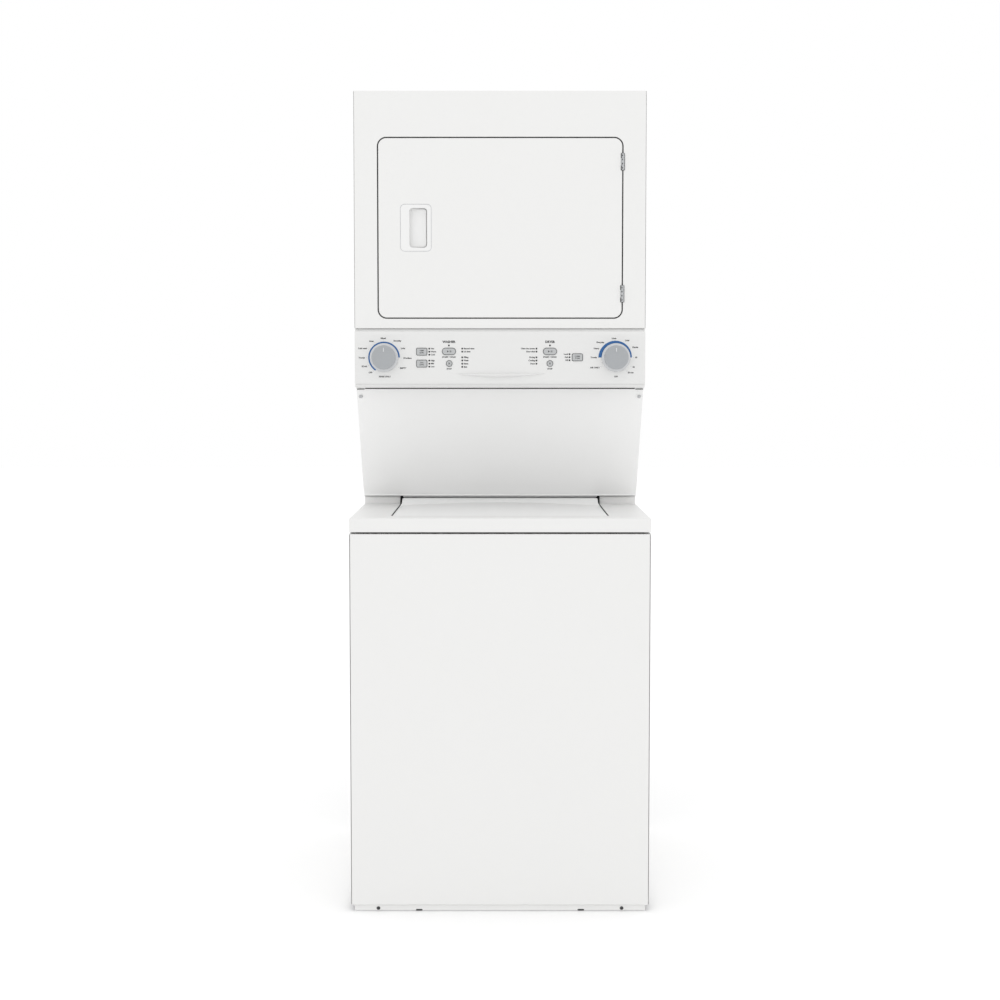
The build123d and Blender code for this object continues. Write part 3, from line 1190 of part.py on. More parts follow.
# ---------------------------------------------------------------- dryer door
DOOR_SPLIT_Y = DRYER_FRONT_Y + DOOR_DEPTH
with BuildPart() as door_outer_panel:
    with BuildSketch(front_plane(DRYER_FRONT_Y)):
        with Locations((DOOR_MID_X, DOOR_MID_Z)):
            RectangleRounded(DOOR_W, DOOR_H, DOOR_R)
    extrude(amount=-(DOOR_DEPTH - 6))
    fillet(door_outer_panel.faces().sort_by(Axis.Y)[0].edges(), 1.6)
    with BuildSketch(front_plane(DRYER_FRONT_Y + SHEET)):
        with Locations((DOOR_MID_X, DOOR_MID_Z)):
            RectangleRounded(DOOR_W - 2 * SHEET, DOOR_H - 2 * SHEET, DOOR_R - SHEET)
    extrude(amount=-DOOR_DEPTH, mode=Mode.SUBTRACT)
    with BuildSketch(front_plane(DRYER_FRONT_Y)):
        with Locations((HANDLE_X, HANDLE_Z)):
            RectangleRounded(HANDLE_PLATE_W + 0.6, HANDLE_PLATE_H + 0.6, 10.3)
    extrude(amount=-10, mode=Mode.SUBTRACT)
    with BuildSketch(front_plane(DRYER_FRONT_Y)):
        with Locations(*[(DOOR_RIGHT, z) for z in DOOR_HINGE_ZS]):
            Rectangle(7, DOOR_HINGE_LENGTH + 2)
    extrude(amount=-5, mode=Mode.SUBTRACT)
door_outer_panel.part.label = "door_outer_panel"
export_step(door_outer_panel.part, "parts/door_outer_panel.step")

with BuildPart() as door_inner_panel:
    with BuildSketch(front_plane(DOOR_SPLIT_Y)):
        with Locations((DOOR_MID_X, DOOR_MID_Z)):
            RectangleRounded(DOOR_W, DOOR_H, DOOR_R)
    extrude(amount=6)
    with BuildSketch(front_plane(DOOR_SPLIT_Y - SHEET)):
        with Locations((DOOR_MID_X, DOOR_MID_Z)):
            RectangleRounded(DOOR_W - 2 * SHEET, DOOR_H - 2 * SHEET, DOOR_R - SHEET)
    extrude(amount=6, mode=Mode.SUBTRACT)
    with BuildSketch(front_plane(DOOR_SPLIT_Y)):
        with Locations((0, DRUM_Z)):
            RectangleRounded(328, 220, 50)
    extrude(amount=9)
    with BuildSketch(front_plane(DOOR_SPLIT_Y)):
        with Locations((0, DRUM_Z)):
            RectangleRounded(324, 216, 48)
    extrude(amount=7.5, mode=Mode.SUBTRACT)
door_inner_panel.part.label = "door_inner_panel"
export_step(door_inner_panel.part, "parts/door_inner_panel.step")

GASKET_OUT = 25.0
GASKET_IN = 13.0


def mouth_ring(extra, mode):
    """Draws the drum mouth's outline, grown by extra on every side."""
    half_x, half_z = DRUM_MOUTH_HALF_X + extra, DRUM_MOUTH_HALF_Z + extra
    RectangleRounded(2 * half_x, 2 * half_z, DRUM_MOUTH_R + extra, mode=mode)


with BuildPart() as door_gasket:
    with BuildSketch(front_plane(DOOR_SPLIT_Y)):
        with Locations((0, DRUM_Z)):
            mouth_ring(GASKET_OUT, Mode.ADD)
            mouth_ring(GASKET_IN, Mode.SUBTRACT)
    extrude(amount=-(DOOR_RECESS - SHEET - DOOR_DEPTH - 0.5))
door_gasket.part.label = "door_gasket"
export_step(door_gasket.part, "parts/door_gasket.step")

with BuildPart() as handle_cup:
    with BuildSketch(front_plane(DRYER_FRONT_Y)):
        with Locations((HANDLE_X, HANDLE_Z)):
            RectangleRounded(HANDLE_PLATE_W, HANDLE_PLATE_H, 10)
    extrude(amount=-2.5)
    fillet(handle_cup.faces().sort_by(Axis.Y)[0].edges(), 0.8)
    with BuildSketch(front_plane(DRYER_FRONT_Y + 2.5)):
        with Locations((HANDLE_POCKET_X, HANDLE_Z)):
            RectangleRounded(HANDLE_POCKET_W + 3, HANDLE_POCKET_H + 3, 9)
    extrude(amount=-13)
    with BuildSketch(front_plane(DRYER_FRONT_Y)):
        with Locations((HANDLE_POCKET_X, HANDLE_Z)):
            RectangleRounded(HANDLE_POCKET_W, HANDLE_POCKET_H, 8)
    extrude(amount=-14, mode=Mode.SUBTRACT)
handle_cup.part.label = "handle_cup"
export_step(handle_cup.part, "parts/handle_cup.step")

# hinge barrels: the middle knuckle and its pin turn with the door, the end knuckles stay on the frame
KNUCKLE = DOOR_HINGE_LENGTH / 4
with BuildPart() as door_hinge_leaves:
    for z in DOOR_HINGE_ZS:
        with BuildSketch(Plane.XY.offset(z - KNUCKLE + 0.4)):
            with Locations((DOOR_HINGE_X, DOOR_HINGE_Y)):
                Circle(3.4)
            with Locations((DOOR_HINGE_X - 9, DOOR_HINGE_Y + 2.9)):
                Rectangle(16, 1.2)
        extrude(amount=2 * KNUCKLE - 0.8)
        with BuildSketch(Plane.XY.offset(z - 2 * KNUCKLE)):
            with Locations((DOOR_HINGE_X, DOOR_HINGE_Y)):
                Circle(DOOR_PIN_R)
        extrude(amount=4 * KNUCKLE)
door_hinge_leaves.part.label = "door_hinge_leaves"
export_step(door_hinge_leaves.part, "parts/door_hinge_leaves.step")

with BuildPart() as frame_hinge_leaves:
    for z in DOOR_HINGE_ZS:
        for low in (z - 2 * KNUCKLE, z + KNUCKLE):
            with BuildSketch(Plane.XY.offset(low)):
                with Locations((DOOR_HINGE_X, DOOR_HINGE_Y)):
                    Circle(3.4)
                with Locations((DOOR_HINGE_X + 2.8, DOOR_HINGE_Y + 4.4)):
                    Rectangle(1.2, 5)
                with Locations((DOOR_HINGE_X, DOOR_HINGE_Y)):
                    Circle(DOOR_PIN_R + RUNNING, mode=Mode.SUBTRACT)
            extrude(amount=KNUCKLE)
frame_hinge_leaves.part.label = "frame_hinge_leaves"
export_step(frame_hinge_leaves.part, "parts/frame_hinge_leaves.step")
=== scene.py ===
"""Looks of the laundry centre: covers, dials, printed marks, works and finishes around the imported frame."""

import json
import logging
import math
from dataclasses import dataclass
from enum import Enum

import bmesh
import bpy
from mathutils import Matrix, Vector

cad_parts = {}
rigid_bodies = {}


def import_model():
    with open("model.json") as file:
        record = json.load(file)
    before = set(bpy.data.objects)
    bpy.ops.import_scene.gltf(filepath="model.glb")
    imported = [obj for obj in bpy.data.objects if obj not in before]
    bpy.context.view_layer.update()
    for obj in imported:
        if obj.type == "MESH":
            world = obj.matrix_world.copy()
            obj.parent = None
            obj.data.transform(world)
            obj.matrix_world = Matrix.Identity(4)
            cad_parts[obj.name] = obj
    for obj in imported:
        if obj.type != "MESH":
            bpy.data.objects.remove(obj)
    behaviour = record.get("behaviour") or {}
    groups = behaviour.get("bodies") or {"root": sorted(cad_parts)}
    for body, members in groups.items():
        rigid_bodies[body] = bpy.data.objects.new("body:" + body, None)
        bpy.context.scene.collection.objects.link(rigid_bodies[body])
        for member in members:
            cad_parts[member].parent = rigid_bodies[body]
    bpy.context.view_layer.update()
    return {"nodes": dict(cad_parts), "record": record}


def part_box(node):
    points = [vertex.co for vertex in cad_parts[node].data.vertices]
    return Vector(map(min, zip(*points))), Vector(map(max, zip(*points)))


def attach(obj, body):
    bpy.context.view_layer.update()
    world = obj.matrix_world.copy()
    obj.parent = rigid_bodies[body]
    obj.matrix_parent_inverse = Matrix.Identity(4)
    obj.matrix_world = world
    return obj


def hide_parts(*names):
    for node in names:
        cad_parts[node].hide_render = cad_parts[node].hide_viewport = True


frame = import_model()
LOG = logging.getLogger("laundry_centre")
Shape = bmesh.types.BMesh
Corner = tuple[float, float, float]
ORIGIN = (0.0, 0.0, 0.0)
MERGE = 0.00001
NEARLY_ALL = 0.999
FLAT_ANGLE = 0.2
PRINT_DEPTH = 0.00014
DRIFT_SCALE = 3.5
SMUDGE_SCALE = 14.0
COAT_ROUGHNESS = 0.12


class Grain(Enum):
    """How the fine texture of a finish runs over its surface."""

    PEEL = (260.0, (1.0, 1.0, 1.0))
    MOULDED = (900.0, (1.0, 1.0, 1.0))
    CAST = (420.0, (1.0, 1.0, 1.0))
    BRUSHED_X = (700.0, (0.02, 1.0, 1.0))
    BRUSHED_Z = (700.0, (1.0, 1.0, 0.02))
    SPANGLE = (60.0, (1.0, 1.0, 1.0))


# ------------------------------------------------------------------------------------------- finishes
def surface_group() -> bpy.types.NodeTree:
    """Builds the shared effect of colour drift, uneven gloss and fine grain.

    Returns:
        A shader node group that puts out a colour, a roughness and a normal.
    """
    name = "surface_detail"
    if name in bpy.data.node_groups:
        return bpy.data.node_groups[name]
    group = bpy.data.node_groups.new(name, "ShaderNodeTree")
    for label, kind, default in (
        ("Vector", "NodeSocketVector", None),
        ("Colour", "NodeSocketColor", (0.8, 0.8, 0.8, 1.0)),
        ("Drift Colour", "NodeSocketColor", (0.7, 0.7, 0.7, 1.0)),
        ("Gloss Low", "NodeSocketFloat", 0.3),
        ("Gloss High", "NodeSocketFloat", 0.4),
        ("Grain Scale", "NodeSocketFloat", 300.0),
        ("Stretch", "NodeSocketVector", (1.0, 1.0, 1.0)),
        ("Bump", "NodeSocketFloat", 0.1),
        ("Bump Depth", "NodeSocketFloat", 0.0001),
    ):
        socket = group.interface.new_socket(label, in_out="INPUT", socket_type=kind)
        if default is not None:
            socket.default_value = default
    group.interface.new_socket("Colour", in_out="OUTPUT", socket_type="NodeSocketColor")
    group.interface.new_socket("Roughness", in_out="OUTPUT", socket_type="NodeSocketFloat")
    group.interface.new_socket("Normal", in_out="OUTPUT", socket_type="NodeSocketVector")
    nodes, links = group.nodes, group.links
    entry = nodes.new("NodeGroupInput")
    leave = nodes.new("NodeGroupOutput")
    drift = nodes.new("ShaderNodeTexNoise")
    drift.inputs["Scale"].default_value = DRIFT_SCALE
    drift.inputs["Detail"].default_value = 4.0
    blend = nodes.new("ShaderNodeMix")
    blend.data_type = "RGBA"
    gloss = nodes.new("ShaderNodeMapRange")
    smudge = nodes.new("ShaderNodeTexNoise")
    smudge.inputs["Scale"].default_value = SMUDGE_SCALE
    smudge.inputs["Detail"].default_value = 5.0
    stretch = nodes.new("ShaderNodeVectorMath")
    stretch.operation = "MULTIPLY"
    grain = nodes.new("ShaderNodeTexNoise")
    grain.inputs["Detail"].default_value = 3.0
    bump = nodes.new("ShaderNodeBump")
    for source, output, target, entrance in (
        (entry, "Vector", drift, "Vector"),
        (entry, "Vector", smudge, "Vector"),
        (entry, "Vector", stretch, 0),
        (entry, "Stretch", stretch, 1),
        (stretch, "Vector", grain, "Vector"),
        (entry, "Grain Scale", grain, "Scale"),
        (drift, "Fac", blend, "Factor"),
        (entry, "Colour", blend, "A"),
        (entry, "Drift Colour", blend, "B"),
        (smudge, "Fac", gloss, "Value"),
        (entry, "Gloss Low", gloss, "To Min"),
        (entry, "Gloss High", gloss, "To Max"),
        (grain, "Fac", bump, "Height"),
        (entry, "Bump", bump, "Strength"),
        (entry, "Bump Depth", bump, "Distance"),
        (blend, "Result", leave, "Colour"),
        (gloss, "Result", leave, "Roughness"),
        (bump, "Normal", leave, "Normal"),
    ):
        links.new(source.outputs[output], target.inputs[entrance])
    return group


@dataclass(frozen=True)
class Finish:
    """One finish: its colours, gloss, metal and grain."""

    name: str
    colour: tuple[float, float, float]
    drift: tuple[float, float, float]
    gloss: tuple[float, float]
    grain: Grain
    bump: float = 0.1
    depth: float = 0.0001
    metallic: float = 0.0
    coat: float = 0.0
    glow: float = 0.0

    def material(self) -> bpy.types.Material:
        """Builds the material once and gives it again afterwards.

        Returns:
            The procedural material of this finish.
        """
        label = "finish_" + self.name
        if label in bpy.data.materials:
            return bpy.data.materials[label]
        made = bpy.data.materials.new(label)
        made.use_nodes = True
        nodes, links = made.node_tree.nodes, made.node_tree.links
        shader = nodes["Principled BSDF"]
        shader.inputs["Metallic"].default_value = self.metallic
        shader.inputs["Coat Weight"].default_value = self.coat
        shader.inputs["Coat Roughness"].default_value = COAT_ROUGHNESS
        if self.glow > 0.0:
            shader.inputs["Emission Color"].default_value = (*self.colour, 1.0)
            shader.inputs["Emission Strength"].default_value = self.glow
        place = nodes.new("ShaderNodeTexCoord")
        detail = nodes.new("ShaderNodeGroup")
        detail.node_tree = surface_group()
        scale, stretch = self.grain.value
        detail.inputs["Colour"].default_value = (*self.colour, 1.0)
        detail.inputs["Drift Colour"].default_value = (*self.drift, 1.0)
        detail.inputs["Gloss Low"].default_value = self.gloss[0]
        detail.inputs["Gloss High"].default_value = self.gloss[1]
        detail.inputs["Grain Scale"].default_value = scale
        detail.inputs["Stretch"].default_value = stretch
        detail.inputs["Bump"].default_value = self.bump
        detail.inputs["Bump Depth"].default_value = self.depth
        links.new(place.outputs["Object"], detail.inputs["Vector"])
        links.new(detail.outputs["Colour"], shader.inputs["Base Color"])
        links.new(detail.outputs["Roughness"], shader.inputs["Roughness"])
        links.new(detail.outputs["Normal"], shader.inputs["Normal"])
        return made


ENAMEL = Finish("white_enamel", (0.825, 0.824, 0.815), (0.817, 0.816, 0.807), (0.33, 0.35),
                Grain.PEEL, 0.03, 0.0001)
# Painted light: the same white enamel as the cabinet, made lighter for the sloped panel, the lid and the hem
# to make up for the shade that falls on them.
LIT_ENAMEL = Finish("enamel_lit_copy", (0.90, 0.90, 0.895), (0.893, 0.893, 0.888), (0.36, 0.38),
               Grain.PEEL, 0.03, 0.0001)
CONSOLE = Finish("console_plastic", (0.775, 0.775, 0.768), (0.765, 0.765, 0.758), (0.34, 0.42),
                 Grain.MOULDED, 0.06)
CUP = Finish("cup_plastic", (0.84, 0.84, 0.835), (0.83, 0.83, 0.825), (0.32, 0.40), Grain.MOULDED, 0.06)
KNOB_FACE = Finish("knob_face_satin", (0.385, 0.40, 0.415), (0.37, 0.385, 0.40), (0.38, 0.46),
                   Grain.MOULDED, 0.1, coat=0.1)
# Painted shade: the white translucent ring is darkened to grey so that its edge shows as a shaded line; the
# handle's outline uses it too.
RING_WITH_PAINTED_SHADE = Finish("white_ring_painted_shade", (0.60, 0.61, 0.625), (0.58, 0.59, 0.605), (0.18, 0.24),
                   Grain.MOULDED, 0.04, coat=0.5)
BUTTON = Finish("button_satin", (0.50, 0.51, 0.515), (0.47, 0.48, 0.485), (0.34, 0.42), Grain.MOULDED, 0.08)
INK = Finish("printed_ink", (0.030, 0.031, 0.034), (0.040, 0.041, 0.044), (0.45, 0.55), Grain.MOULDED, 0.03)
BLUE_INK = Finish("blue_ink", (0.018, 0.115, 0.33), (0.022, 0.125, 0.35), (0.36, 0.44), Grain.MOULDED, 0.03)
WHITE_INK = Finish("white_ink", (0.88, 0.89, 0.90), (0.85, 0.86, 0.87), (0.40, 0.48), Grain.MOULDED, 0.03)
LENS = Finish("lamp_lens", (0.012, 0.013, 0.015), (0.018, 0.019, 0.021), (0.12, 0.18),
              Grain.MOULDED, 0.02, coat=0.4)
ZINC = Finish("zinc_sheet", (0.52, 0.53, 0.54), (0.43, 0.44, 0.45), (0.34, 0.52),
              Grain.SPANGLE, 0.08, metallic=0.85)
STAINLESS = Finish("stainless_sheet", (0.62, 0.62, 0.61), (0.56, 0.56, 0.55), (0.22, 0.32),
                   Grain.BRUSHED_Z, 0.15, metallic=1.0)
PLATED = Finish("plated_steel", (0.55, 0.56, 0.57), (0.48, 0.49, 0.50), (0.20, 0.30),
                Grain.BRUSHED_X, 0.08, metallic=1.0)
DRUM_COAT = Finish("drum_coat", (0.74, 0.74, 0.72), (0.70, 0.70, 0.68), (0.30, 0.42), Grain.PEEL, 0.12)
TUB_PLASTIC = Finish("tub_plastic", (0.66, 0.66, 0.63), (0.62, 0.62, 0.59), (0.42, 0.52), Grain.MOULDED, 0.12)
AGITATOR_PLASTIC = Finish("agitator_plastic", (0.72, 0.73, 0.74), (0.69, 0.70, 0.71), (0.24, 0.32),
                          Grain.MOULDED, 0.06)
RUBBER = Finish("black_rubber", (0.022, 0.022, 0.023), (0.035, 0.035, 0.036), (0.60, 0.75), Grain.CAST, 0.2)
MOTOR_COAT = Finish("motor_paint", (0.03, 0.03, 0.033), (0.045, 0.045, 0.048), (0.38, 0.5), Grain.PEEL, 0.12)
CAST_METAL = Finish("cast_metal", (0.50, 0.50, 0.51), (0.42, 0.42, 0.43), (0.42, 0.56),
                    Grain.CAST, 0.3, metallic=0.9)
NYLON = Finish("dark_nylon", (0.045, 0.046, 0.05), (0.06, 0.061, 0.065), (0.42, 0.52), Grain.MOULDED, 0.12)
BOARD = Finish("board_mask", (0.02, 0.12, 0.06), (0.03, 0.15, 0.07), (0.30, 0.38), Grain.MOULDED, 0.05)
SCREEN = Finish("screen_plastic", (0.60, 0.62, 0.66), (0.56, 0.58, 0.62), (0.40, 0.50), Grain.MOULDED, 0.1)
HOT_RED = Finish("hot_port", (0.45, 0.03, 0.025), (0.50, 0.04, 0.03), (0.35, 0.45), Grain.MOULDED, 0.08)
COLD_BLUE = Finish("cold_port", (0.03, 0.10, 0.42), (0.04, 0.12, 0.46), (0.35, 0.45), Grain.MOULDED, 0.08)
FLOOR = Finish("floor_paper", (0.93, 0.93, 0.93), (0.92, 0.92, 0.92), (0.85, 0.9),
               Grain.CAST, 0.02, glow=0.12)

NODE_FINISHES: dict[Finish, tuple[str, ...]] = {
    ENAMEL: ("washer_front_panel", "washer_sides", "washer_deck", "dryer_front_panel", "dryer_sides",
             "dryer_top_panel", "door_outer_panel", "washer_lid"),
    LIT_ENAMEL: ("sloped_panel",),
    CONSOLE: ("console_fascia", "door_inner_panel"),
    CUP: ("handle_cup",),
    KNOB_FACE: ("washer_knob", "dryer_knob"),
    BUTTON: ("washer_temperature_button", "washer_soil_button", "washer_start_button", "washer_cancel_button",
             "dryer_start_button", "dryer_cancel_button", "dryer_signal_button"),
    ZINC: ("washer_rear_panel", "dryer_rear_panel", "cabinet_frame", "dryer_floor", "front_bulkhead",
           "rear_bulkhead", "heater_housing", "idler_arm", "exhaust_duct", "terminal_cover"),
    STAINLESS: ("wash_basket",),
    PLATED: ("door_hinge_leaves", "frame_hinge_leaves", "lid_hinge_pins", "cabinet_screws", "suspension_rods",
             "motor_rotor"),
    DRUM_COAT: ("drum_shell", "drum_baffles"),
    TUB_PLASTIC: ("outer_tub", "tub_cover", "balance_ring", "blower_housing"),
    AGITATOR_PLASTIC: ("agitator", "agitator_cap"),
    RUBBER: ("washer_belt", "dryer_belt", "door_gasket", "levelling_feet"),
    MOTOR_COAT: ("washer_motor", "dryer_motor"),
    CAST_METAL: ("gearcase", "washer_pulley", "washer_motor_pulley", "idler_pulley"),
    NYLON: ("drain_pump", "hose_fittings"),
    BOARD: ("control_board",),
    SCREEN: ("lint_screen",),
}


# ------------------------------------------------------------------------------------------- mesh helpers
def body_names() -> dict[str, str]:
    """Returns the body that each CAD node rides on, by node name."""
    bodies = frame["record"]["behaviour"]["bodies"]
    return {node: body for body, members in bodies.items() for node in members}


BODY_OF = body_names()


def new_piece(name: str, mesh_data: Shape, finish: Finish, body: str,
              soften: float = 35.0) -> bpy.types.Object:
    """Turns a bmesh into a finished piece that rides on a body.

    Args:
        name: The piece's name.
        mesh_data: The shape, in metres, in the frame; it is freed here.
        finish: The finish of its whole surface.
        body: The CAD body it moves with.
        soften: The angle in degrees under which edges shade smooth.

    Returns:
        The new object.
    """
    bmesh.ops.recalc_face_normals(mesh_data, faces=mesh_data.faces)
    mesh = bpy.data.meshes.new(name)
    mesh_data.to_mesh(mesh)
    mesh_data.free()
    mesh.shade_smooth()
    mesh.set_sharp_from_angle(angle=math.radians(soften))
    mesh.materials.append(finish.material())
    piece = bpy.data.objects.new(name, mesh)
    bpy.context.scene.collection.objects.link(piece)
    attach(piece, body)
    LOG.info("piece %s on %s: %d faces", name, body, len(mesh.polygons))
    return piece


def smooth_copy(node: str, finish: Finish) -> bpy.types.Object:
    """Stands a merged, smoothly shaded copy in for a CAD node.

    Args:
        node: The CAD node's name.
        finish: The finish of the copy.

    Returns:
        The copy, riding on the node's body.
    """
    shape = bmesh.new()
    shape.from_mesh(frame["nodes"][node].data)
    bmesh.ops.remove_doubles(shape, verts=shape.verts, dist=MERGE)
    flat = math.radians(FLAT_ANGLE)
    bmesh.ops.dissolve_limit(shape, angle_limit=flat, verts=shape.verts, edges=shape.edges)
    piece = new_piece(node + "_finished", shape, finish, BODY_OF[node])
    evened = piece.modifiers.new("even_shading", "WEIGHTED_NORMAL")
    evened.keep_sharp = True
    evened.weight = 100
    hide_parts(node)
    return piece


def flat_ring(inner: float, outer: float, start: float, sweep: float, steps: int) -> Shape:
    """Makes part of a flat ring in the XZ plane by spinning a line.

    Args:
        inner: Inner radius in metres.
        outer: Outer radius in metres.
        start: Start angle in degrees, 0 at the right, turning anticlockwise as seen from the front.
        sweep: Angle turned through in degrees.
        steps: Number of steps in the spin.

    Returns:
        The flat ring, centred on the origin.
    """
    shape = bmesh.new()
    angle = math.radians(start)
    ends = [shape.verts.new((r * math.cos(angle), 0.0, r * math.sin(angle))) for r in (inner, outer)]
    line = shape.edges.new(ends)
    bmesh.ops.spin(shape, geom=[*ends, line], cent=ORIGIN, axis=(0, -1, 0), angle=math.radians(sweep),
                   steps=steps, use_merge=sweep >= 359.9)
    return shape


def thicken(shape: Shape, depth: float) -> None:
    """Gives a flat shape that faces the front a thickness towards the front.

    Args:
        shape: The flat shape.
        depth: The thickness in metres.
    """
    grown = bmesh.ops.extrude_face_region(shape, geom=shape.faces[:])
    moved = [item for item in grown["geom"] if isinstance(item, bmesh.types.BMVert)]
    bmesh.ops.translate(shape, verts=moved, vec=(0.0, -depth, 0.0))


def shift(shape: Shape, x: float, y: float, z: float) -> None:
    """Moves a whole shape by x, y and z in metres."""
    bmesh.ops.translate(shape, verts=shape.verts, vec=(x, y, z))


def swing(shape: Shape, degrees: float, axis: str) -> None:
    """Turns a whole shape about an axis through the origin, by an angle in degrees."""
    turn = Matrix.Rotation(math.radians(degrees), 3, axis)
    bmesh.ops.rotate(shape, verts=shape.verts, cent=ORIGIN, matrix=turn)


def join(target: Shape, part: Shape) -> None:
    """Adds one shape to another and frees it."""
    carried = bpy.data.meshes.new("carried")
    part.to_mesh(carried)
    part.free()
    target.from_mesh(carried)
    bpy.data.meshes.remove(carried)


def turned(outline: list[tuple[float, float]], steps: int = 96) -> Shape:
    """Turns an outline of radius and distance towards the front about the Y axis.

    Args:
        outline: Points of radius and distance in front of the plane, in metres.
        steps: Number of steps round.

    Returns:
        The turned shape, centred on the origin.
    """
    shape = bmesh.new()
    corners = [shape.verts.new((radius, -ahead, 0.0)) for radius, ahead in outline]
    lines = [shape.edges.new(pair) for pair in zip(corners, corners[1:])]
    bmesh.ops.spin(shape, geom=[*corners, *lines], cent=ORIGIN, axis=(0, 1, 0), angle=math.tau, steps=steps,
                   use_merge=True)
    bmesh.ops.remove_doubles(shape, verts=shape.verts, dist=MERGE / 10)
    return shape


def rounded_bar(width: float, height: float, radius: float, depth: float, edge: float = 0.0) -> Shape:
    """Makes a bar that faces the front, with rounded corners and a softened front edge.

    Args:
        width: Size along X in metres.
        height: Size along Z in metres.
        radius: Corner radius in metres.
        depth: Thickness towards the front in metres.
        edge: Radius of the softened front edge in metres, or none.

    Returns:
        The bar, centred on the origin with its back on the plane Y = 0.
    """
    shape = bmesh.new()
    bmesh.ops.create_cube(shape, size=1.0)
    bmesh.ops.scale(shape, verts=shape.verts, vec=(width, depth, height))
    shift(shape, 0.0, -depth / 2, 0.0)
    corners = [line for line in shape.edges if abs(line.verts[0].co.y - line.verts[1].co.y) > depth / 2]
    corner = min(radius, height / 2 * NEARLY_ALL)
    bmesh.ops.bevel(shape, geom=corners, offset=corner, segments=8, profile=0.5, affect="EDGES", material=-1)
    if edge > 0.0:
        front = [line for line in shape.edges if all(abs(v.co.y + depth) < 1e-7 for v in line.verts)]
        bmesh.ops.bevel(shape, geom=front, offset=edge, segments=3, profile=0.5, affect="EDGES", material=-1)
    return shape


def outline_band(width: float, height: float, radius: float, band: float) -> Shape:
    """Makes a flat band round a rounded rectangle that faces the front.

    Args:
        width: Outer size along X in metres.
        height: Outer size along Z in metres.
        radius: Outer corner radius in metres.
        band: Width of the band in metres.

    Returns:
        The band, centred on the origin on the plane Y = 0.
    """
    shape = bmesh.new()
    radius = min(radius, height / 2 * NEARLY_ALL)
    loops = []
    for inset in (0.0, band):
        loop = []
        for quarter, (sx, sz) in enumerate(((1, 1), (-1, 1), (-1, -1), (1, -1))):
            cx, cz = sx * (width / 2 - radius), sz * (height / 2 - radius)
            reach = max(radius - inset, 0.00002)
            pull = min(radius - inset, 0.0)
            for step in range(9):
                angle = math.pi / 2 * (quarter + step / 8)
                across = cx + sx * pull + reach * math.cos(angle)
                up = cz + sz * pull + reach * math.sin(angle)
                loop.append(shape.verts.new((across, 0.0, up)))
        loops.append(loop)
    outer, inner = loops
    for here in range(len(outer)):
        after = (here + 1) % len(outer)
        shape.faces.new((outer[here], outer[after], inner[after], inner[here]))
    return shape


def lettering(words: str, height: float, x: float, z: float, align: str = "CENTER",
              heavy: float = 0.0) -> Shape:
    """Makes printed lettering that faces the front.

    Args:
        words: What it says.
        height: Letter size in metres.
        x: Where it is aligned along X, in metres.
        z: Its middle height, in metres.
        align: LEFT, CENTER or RIGHT.
        heavy: How far the strokes are grown, in metres.

    Returns:
        The flat letters on the plane Y = 0.
    """
    curve = bpy.data.curves.new("words", "FONT")
    curve.body = words
    curve.size = height
    curve.align_x = align
    curve.align_y = "CENTER"
    curve.offset = heavy
    curve.resolution_u = 2
    holder = bpy.data.objects.new("words", curve)
    bpy.context.scene.collection.objects.link(holder)
    ready = holder.evaluated_get(bpy.context.evaluated_depsgraph_get())
    flat = bpy.data.meshes.new_from_object(ready)
    shape = bmesh.new()
    shape.from_mesh(flat)
    bpy.data.objects.remove(holder)
    bpy.data.curves.remove(curve)
    bpy.data.meshes.remove(flat)
    swing(shape, 90.0, "X")
    shift(shape, x, 0.0, z)
    return shape


def print_words(ink: Shape, words: str, height: float, place: Corner, align: str, heavy: float) -> None:
    """Prints words on a face and gathers them in one shape.

    Args:
        ink: The shape that gathers the print.
        words: What it says.
        height: Letter size in metres.
        place: Where it is aligned, in metres.
        align: LEFT, CENTER or RIGHT.
        heavy: How far the strokes are grown, in metres.
    """
    letters = lettering(words, height, place[0], place[2], align, heavy)
    thicken(letters, PRINT_DEPTH)
    shift(letters, 0.0, place[1], 0.0)
    join(ink, letters)


def middle(node: str) -> Vector:
    """Returns the middle of a CAD node's box."""
    low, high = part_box(node)
    return (Vector(low) + Vector(high)) / 2


